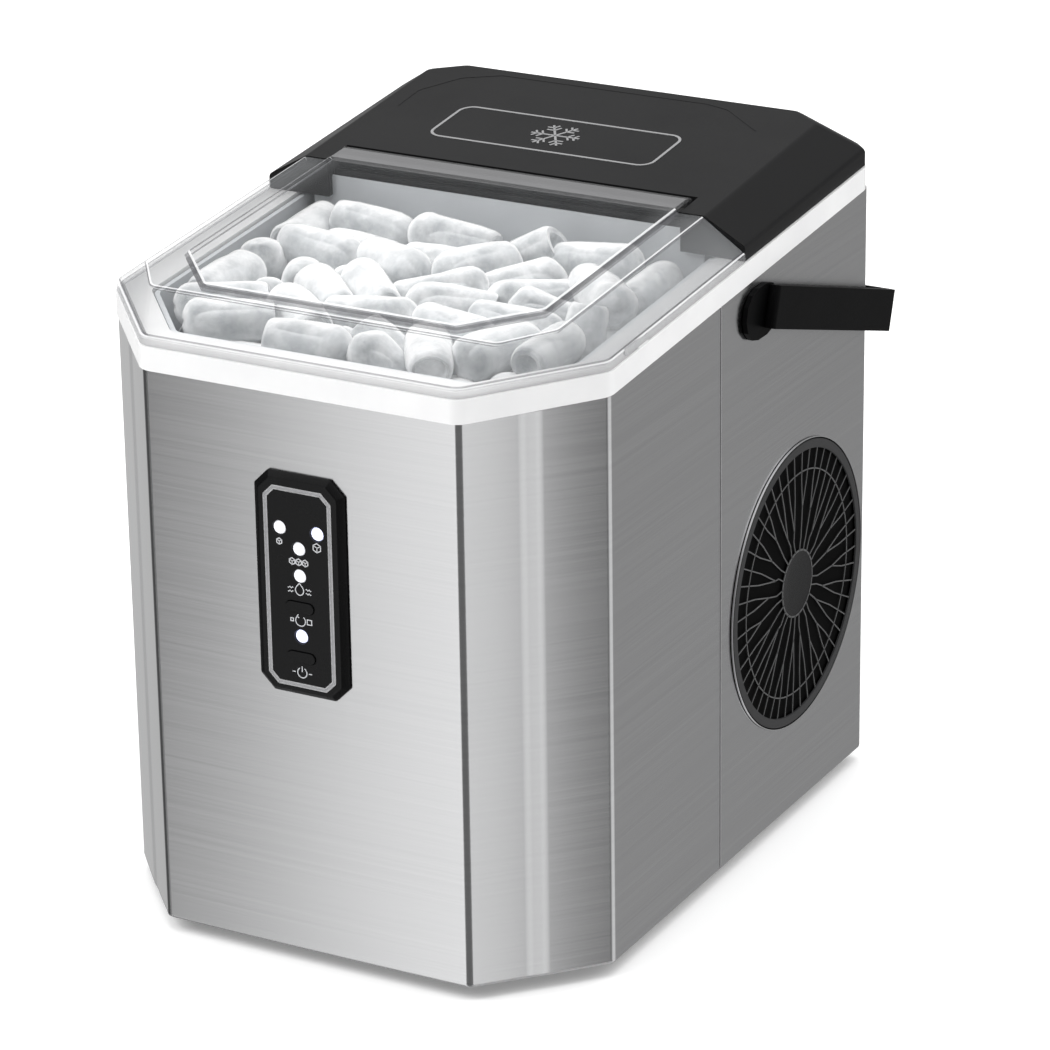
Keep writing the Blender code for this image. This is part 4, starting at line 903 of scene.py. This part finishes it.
def make_controls():
    face = PANEL_LOW.y
    holes = []
    lamp_r = 0.0028
    for name in LAMPS:
        low, high = (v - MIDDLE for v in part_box(name))
        holes.append(circle(lamp_r + GAP, 28, (low.x + high.x) / 2, (low.z + high.z) / 2))
    for name in ("select_button", "power_button"):
        low, high = (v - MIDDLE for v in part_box(name))
        middle = (low.z + high.z) / 2
        holes.append([(x, middle + y) for x, y in pill(0.0040, 0.0022 + GAP)])
    back = FRONT_Y - GAP
    top = back - face
    foot, flank = 0.0010, 0.0023
    steps = [(0.0, 0.0), (0.0, foot - 0.0003), (0.0002, foot), (flank - 0.0003, top - 0.00025),
             (flank + 0.0001, top - 0.00005), (flank + 0.0006, top)]
    bm = bmesh.new()
    loops = [[bm.verts.new((x, y, height)) for x, y in rounded(panel_outline(shrink), 0.0012, 4)]
             for shrink, height in steps]
    loft(bm, loops)
    bm.faces.new(loops[0])
    bm.faces.new(loops[-1])
    bezel = cut_away(mesh_of(bm, "bezel"), joined(*[plate_mesh([hole], -0.01, 0.01) for hole in holes]))
    on_front(bezel, 0, back, 0)
    piece = new_object("bezel_gloss", bezel, GLOSS, "cabinet")
    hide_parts("control_bezel")

    half, low_z, high_z, c = 0.0142, 0.1168, 0.1977, 0.0037

    def border(inset):
        return rounded(clipped(half - inset, low_z + inset, high_z - inset, c - inset * 0.6), 0.0006, 3)

    under = top - 0.0001
    # a raised silver ridge drawn flat: a grey middle of painted shade between two silver lines that paint its
    # highlights
    band = strip_mesh(border(0.0), 0.0015, under, top + 0.00005)
    new_object("bezel_ridge_painted_shade", on_front(band, 0, back, 0), RIDGE_PAINTED_SHADE, "cabinet")
    ridge_highlights = joined(*[strip_mesh(border(inset), 0.00050, under, top + 0.00010)
                     for inset in (-0.00065, 0.00065)])
    new_object("bezel_ridge_painted_highlights", on_front(ridge_highlights, 0, back, 0), SILVER, "cabinet")

    marks = []

    def mark(path, width=0.00038, closed=False, at=(0, 0)):
        points = [(x + at[0], y + at[1]) for x, y in path]
        marks.append(strip_mesh(points, width, under, top + 0.00006, closed))

    def square(size, at):
        mark([(-size, -size), (size, -size), (size, size), (-size, size)], closed=True, at=at)

    def cube(size, at):
        """Outline of a cube seen from one corner."""
        corners = [(size * math.cos(math.radians(a)), size * math.sin(math.radians(a)))
                   for a in range(30, 390, 60)]
        mark(corners, closed=True, at=at)
        for corner in corners[0::2]:
            mark([(0.0, 0.0), corner], 0.00032, at=at)

    def arc(radius, start, end, at, width=0.00038):
        turns = [math.radians(start + (end - start) * i / 18) for i in range(19)]
        mark([(radius * math.cos(t), radius * math.sin(t)) for t in turns], width, at=at)

    cube(0.0013, (-0.0084, 0.1757))
    cube(0.0019, (0.0084, 0.1757))
    for x in (-0.0029, 0.0, 0.0029):
        cube(0.0014, (x, 0.1684))
    drop = [(0.0019 * math.sin(t) * (1 - 0.60 * max(0.0, math.cos(t))), 0.0024 * math.cos(t))
            for t in [2 * math.pi * i / 22 for i in range(22)]]
    mark(drop, closed=True, at=(0.0, 0.1571))
    for side in (-1, 1):
        for height in (-0.0010, 0.0006):
            wave = [(side * (0.0028 + 0.0024 * i / 8),
                     height + 0.0003 * math.sin(i * math.pi / 2)) for i in range(9)]
            mark(wave, 0.00030, at=(0.0, 0.1568))
    arc(0.0022, 130, 410, (0.0, 0.1440))
    mark([(-0.0006, 0.0012), (-0.0015, 0.0017), (-0.0009, 0.0026)], at=(0.0, 0.1440))
    square(0.0006, (-0.0038, 0.1440))
    square(0.0010, (0.0040, 0.1440))
    arc(0.0021, 120, 420, (0.0, 0.1222), 0.00042)
    mark([(0.0, 0.0003), (0.0, 0.0027)], 0.00042, at=(0.0, 0.1222))
    for side in (-1, 1):
        mark([(side * 0.0030, 0.0), (side * 0.0044, 0.0)], at=(0.0, 0.1222))
    new_object("bezel_marks", on_front(joined(*marks), 0, back, 0), PRINT, "cabinet")

    for name, look in LAMPS.items():
        low, high = (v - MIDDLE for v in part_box(name))
        r, rear = (high.x - low.x) / 2, high.y
        tip = low.y
        profile = [(0.0, -rear), (r, -rear), (r, -tip - 0.0009), (r * 0.93, -tip - 0.0004),
                   (r * 0.72, -tip - 0.0001), (0.0, -tip)]
        lens = lathe_mesh(profile, 32, closed=False)
        on_front(lens, (low.x + high.x) / 2, 0, (low.z + high.z) / 2)
        piece = new_object(name + "_lens", lens, look, "cabinet")
        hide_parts(name)
    for name, body in (("select_button", "select_key"), ("power_button", "power_key")):
        low, high = (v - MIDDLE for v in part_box(name))
        cap = bevelled(plate_mesh([pill(0.0040, 0.0022)], -high.y, -low.y), 0.0006, 4, 60)
        on_front(cap, 0, 0, (low.z + high.z) / 2)
        piece = new_object(name + "_cap", cap, GLOSS, body)
        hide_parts(name)


# ---- ice
BASKET_LIFT, ICE_CLEARANCE = 0.0062, 0.0042
ICE_COUNT, SETTLE_STEPS = 106, 620
ICE_R, ICE_REACH = 0.0092, 0.0094
CHAMBER = {"x": 0.0865, "front": -0.1170, "back": 0.0175, "floor": 0.2040}


def ice_ceiling(x, y):
    """Highest point that ice may reach: under the lid, with room for the basket's lift."""
    room = BASKET_LIFT + ICE_CLEARANCE
    top = RIM_TOP + SLOPE * y + LID_RISE - room
    slope_front = RIM_TOP + SLOPE * y + 0.0042 + (y - FRONT_Y) * 0.0124 / 0.0188 - room
    slope_side = RIM_TOP + SLOPE * y + 0.0042 + (HALF_W - np.abs(x)) * 0.0124 / 0.0178 - room
    return np.minimum(top, np.minimum(slope_front, slope_side))


def heap(count, seed):
    """Drop short rods into the basket and push them apart until they rest. Returns both ends of each."""
    rng = np.random.default_rng(seed)
    centre = np.stack([rng.uniform(-0.07, 0.07, count), rng.uniform(-0.10, 0.012, count),
                       0.215 + 0.12 * np.arange(count) / count], 1)
    angle, dip = rng.uniform(0, 2 * math.pi, count), rng.normal(0, 0.25, count)
    along = np.stack([np.cos(angle) * np.cos(dip), np.sin(angle) * np.cos(dip), np.sin(dip)], 1)
    a, b = centre - along * ICE_REACH, centre + along * ICE_REACH
    for step in range(SETTLE_STEPS):
        loose = 1.0 - step / SETTLE_STEPS
        a[:, 2] -= 0.00045 * loose + 0.00005
        b[:, 2] -= 0.00045 * loose + 0.00005
        for _ in range(3):
            spots = np.stack([a, (a + b) / 2, b])
            push = np.zeros_like(spots)
            hits = np.zeros(spots.shape[:2])
            for i in range(3):
                for j in range(3):
                    gap = spots[i][:, None, :] - spots[j][None, :, :]
                    far = np.linalg.norm(gap, axis=2)
                    np.fill_diagonal(far, 1.0)
                    deep = np.clip(2 * ICE_R * 0.985 - far, 0, None)
                    way = gap / np.maximum(far, 1e-6)[:, :, None] * deep[:, :, None]
                    push[i] += way.sum(1) * 0.5
                    hits[i] += (deep > 0).sum(1)
            push /= np.maximum(hits, 1)[:, :, None]
            a += (push[0] + push[1] * 0.5) * 0.8
            b += (push[2] + push[1] * 0.5) * 0.8
            for end in (a, b):
                r = ICE_R
                end[:, 0] = np.clip(end[:, 0], -CHAMBER["x"] + r, CHAMBER["x"] - r)
                end[:, 1] = np.clip(end[:, 1], CHAMBER["front"] + r, CHAMBER["back"] - r)
                cut = ((np.abs(end[:, 0]) - 0.0640 + r * 0.75) * 0.745
                       + (-end[:, 1] - 0.1170 + r * 0.75) * 0.667)
                over = np.clip(cut, 0, None)
                end[:, 0] -= np.sign(end[:, 0]) * over * 0.745
                end[:, 1] += over * 0.667
                end[:, 2] = np.maximum(end[:, 2], CHAMBER["floor"] + r)
                end[:, 2] = np.minimum(end[:, 2], ice_ceiling(end[:, 0], end[:, 1]) - r)
            middle = (a + b) / 2
            line = (b - a) * np.array([1.0, 1.0, 0.985])
            line /= np.maximum(np.linalg.norm(line, axis=1), 1e-6)[:, None]
            a, b = middle - line * ICE_REACH, middle + line * ICE_REACH
    return a, b


def cube_profile(rng):
    """Side view of one hollow cube, (radius, height): a thick-walled thimble, open at one end."""
    r = ICE_R * rng.uniform(0.96, 1.04)
    half = ICE_REACH + ICE_R * rng.uniform(0.98, 1.06)
    wall = rng.uniform(0.0030, 0.0042)
    deep = rng.uniform(0.55, 0.80)
    dome = [(r * math.sin(t), half - r * 0.80 * (1 - math.cos(t))) for t in
            [math.radians(d) for d in (0, 12, 26, 42, 58, 74, 88)]]
    side = [(r * 1.01, half - r * 1.15), (r * 1.00, 0.0), (r * 0.96, -half * 0.55),
            (r * 0.90, -half + 0.0022), (r * 0.84, -half + 0.0006), (r * 0.76, -half)]
    core = r * 0.90 - wall
    mouth = [(core + 0.0008, -half + 0.0003), (core + 0.0001, -half + 0.0014), (core - 0.0004, -half * 0.4),
             (core * 0.88, half * (deep - 0.45)), (core * 0.62, half * (deep - 0.20)),
             (core * 0.30, half * (deep - 0.08)), (0.0, half * (deep - 0.05))]
    return dome + side + mouth


def make_ice():
    a, b = heap(ICE_COUNT, 11)
    rng = np.random.default_rng(5)
    for index in range(ICE_COUNT):
        mesh = lathe_mesh(cube_profile(rng), 28, closed=False)
        co = np.zeros(len(mesh.vertices) * 3)
        mesh.vertices.foreach_get("co", co)
        co = co.reshape(-1, 3)
        phase = rng.uniform(0, 2 * math.pi, 6)
        angle = np.arctan2(co[:, 1], co[:, 0])
        height = co[:, 2]
        swell = (1 + 0.030 * np.sin(2 * angle + phase[0] + height * 120)
                 + 0.020 * np.sin(3 * angle + phase[1])
                 + 0.016 * np.sin(height * 480 + phase[2])
                 + 0.012 * np.sin(5 * angle + phase[3] + height * 300))
        co[:, :2] *= swell[:, None]
        co[:, 0] += 0.0010 * np.sin(co[:, 2] * 90 + phase[4])
        co[:, 2] += 0.0005 * np.sin(2 * angle + phase[5])
        mesh.vertices.foreach_set("co", co.astype(np.float32).ravel())
        line = Vector(b[index] - a[index]).normalized()
        if rng.uniform() < 0.5:
            line = -line
        spin = Matrix.Rotation(rng.uniform(0, 2 * math.pi), 4, "Z")
        turn = line.to_track_quat("Z", "Y").to_matrix().to_4x4()
        mesh.transform(Matrix.Translation((a[index] + b[index]) / 2) @ turn @ spin)
        mesh.shade_smooth()
        new_object(f"ice_cube_{index + 1:02d}", mesh, ICE, "basket", flat=False)


def make_chamber_back():
    """The pale curtain behind the ice, and above it under the lid's hinge a black strip with a wavy lower
    edge that paints the shadow under the cover.
    """
    curtain = bevelled(box_mesh((-0.0900, 0.0250, 0.1925), (0.0900, 0.0260, 0.2650)), 0.0003, 2)
    new_object("chamber_curtain", curtain, PALE, "cabinet")
    # painted shadow: a black strip where the cover's shadow falls above the curtain
    low = [(x / 1000, 0.2646 + 0.0012 * math.sin(x / 7.0) * math.exp(-((x - 20) / 60) ** 2))
           for x in range(-90, 91, 3)]
    shadow_strip = plate_mesh([low + [(0.0900, 0.2672), (-0.0900, 0.2672)]], 0.0, 0.0014)
    on_front(shadow_strip, 0, 0.0286, 0)
    new_object("chamber_painted_shadow", shadow_strip, BLACK, "cabinet")


make_steel()
make_seams()
make_rim()
make_lid()
make_cover()
make_handle()
make_grille()
make_controls()
make_chamber_back()
make_ice()


# ---- studio
def make_floor():
    bm = bmesh.new()
    bmesh.ops.create_grid(bm, x_segments=2, y_segments=2, size=9.0)
    mesh = mesh_of(bm, "floor")
    floor = linked("floor", mesh)
    mat, g = material("floor_pale", Roughness=0.95)
    g.feed("Specular IOR Level", 0.0)
    g.feed("Emission Color", (1, 1, 1, 1))
    g.feed("Emission Strength", 0.22)
    mottle = g.noise((2, 2, 2), 1.0)
    g.feed("Base Color", g.mix(mottle, (0.90, 0.90, 0.90), (0.915, 0.915, 0.915)))
    mesh.materials.append(mat)
    floor.visible_glossy = False


# brightness of the studio's walls by compass direction, seen from the machine: 0 is the front, 90 the right;
# chosen so that the steel shows light and dark bands
WALLS = [(-180, 0.50), (-150, 0.60), (-128, 0.80), (-115, 0.50), (-100, 0.12), (-52, 0.10), (-40, 0.04),
         (-36, 0.06), (-33.6, 0.24), (-32.2, 0.56), (-31.2, 1.40), (-27, 1.62), (-20, 1.55), (-14, 0.40),
         (-8, 0.20), (40, 0.20), (56, 0.26), (61, 1.35), (66.8, 1.35), (68.6, 0.22), (85, 0.25), (98, 0.98),
         (132, 1.02), (146, 0.45), (158, 0.36), (180, 0.50)]


def make_world():
    world = bpy.data.worlds.new("studio")
    bpy.context.scene.world = world
    world.use_nodes = True
    tree = world.node_tree
    tree.nodes.clear()
    g = Graph(tree)
    direction = g.add("TexCoord").outputs["Generated"]
    split = g.add("SeparateXYZ", Vector=direction)
    compass = g.math("ARCTAN2", split.outputs["X"], g.math("MULTIPLY", split.outputs["Y"], -1.0))
    share = g.math("MULTIPLY_ADD", compass, 1 / (2 * math.pi), 0.5)
    ramp = g.add("ValToRGB", Fac=share)
    elements = ramp.color_ramp.elements
    top_value = max(v for _, v in WALLS)
    while len(elements) < len(WALLS):
        elements.new(0.5)
    for element, (angle, value) in zip(elements, WALLS):
        element.position = angle / 360 + 0.5
        element.color = (value / top_value,) * 3 + (1.0,)
    wall = g.math("MULTIPLY", ramp.outputs["Color"], top_value)
    # the dark card at the left ends above the floor, so it lets more light in lower down
    card = g.ramp(compass, 1.0, 0.0, math.radians(-34.5), math.radians(-30.5))
    gap_below = g.math("MULTIPLY", card, g.ramp(split.outputs["Z"], 0.95, 0.0, -0.75, -0.26))
    inside = g.math("GREATER_THAN", compass, math.radians(-60))
    wall = g.math("ADD", wall, g.math("MULTIPLY", gap_below, inside))
    ceiling = g.ramp(split.outputs["Z"], 0.0, 1.0, 0.45, 0.75)
    strength = g.math("ADD", g.math("MULTIPLY", wall, g.math("SUBTRACT", 1.0, ceiling)),
                      g.math("MULTIPLY", ceiling, 1.25))
    seen = g.add("LightPath").outputs["Is Camera Ray"]
    shown = g.math("ADD", g.math("MULTIPLY", seen, 1.0),
                   g.math("MULTIPLY", g.math("SUBTRACT", 1.0, seen), strength))
    back = g.add("Background", Strength=shown)
    out = g.add("OutputWorld")
    tree.links.new(back.outputs[0], out.inputs["Surface"])


def area_light(name, at, aim, size, watts):
    data = bpy.data.lights.new(name, "AREA")
    data.shape, data.size, data.size_y, data.energy = "RECTANGLE", size[0], size[1], watts
    light = linked(name, data)
    light.location = at
    light.rotation_mode = "QUATERNION"
    light.rotation_quaternion = (Vector(aim) - Vector(at)).to_track_quat("-Z", "Y")
    light.visible_glossy = False
    return light


def make_camera():
    azimuth, elevation, roll = math.radians(28.77), math.radians(21.70), math.radians(-0.86)
    distance, target = 1.937, MIDDLE + Vector((0.0209, 0.0, 0.1366))
    back = Vector((math.sin(azimuth) * math.cos(elevation), -math.cos(azimuth) * math.cos(elevation),
                   math.sin(elevation)))
    right = Vector((math.cos(azimuth), math.sin(azimuth), 0))
    up = back.cross(right)
    right, up = (right * math.cos(roll) + up * math.sin(roll), -right * math.sin(roll) + up * math.cos(roll))
    data = bpy.data.cameras.new("camera")
    data.lens, data.sensor_width = 162.6, 36.0
    camera = linked("camera", data)
    camera.matrix_world = Matrix.Translation(target + back * distance) @ Matrix(
        ((right.x, up.x, back.x), (right.y, up.y, back.y), (right.z, up.z, back.z))).to_4x4()
    data.clip_start, data.clip_end = 0.05, 50.0
    bpy.context.scene.camera = camera


make_floor()
make_world()
area_light("key_left", (-1.5, -1.3, 1.9), (0, 0, 0.12), (1.6, 1.6), 34)
area_light("fill_top", (0.2, 0.3, 2.3), (0, 0, 0.1), (2.2, 2.2), 26)
area_light("rim_back", (1.2, 1.7, 1.3), (0, 0, 0.15), (1.2, 1.0), 9)
make_camera()
bpy.context.scene.view_settings.view_transform = "Standard"
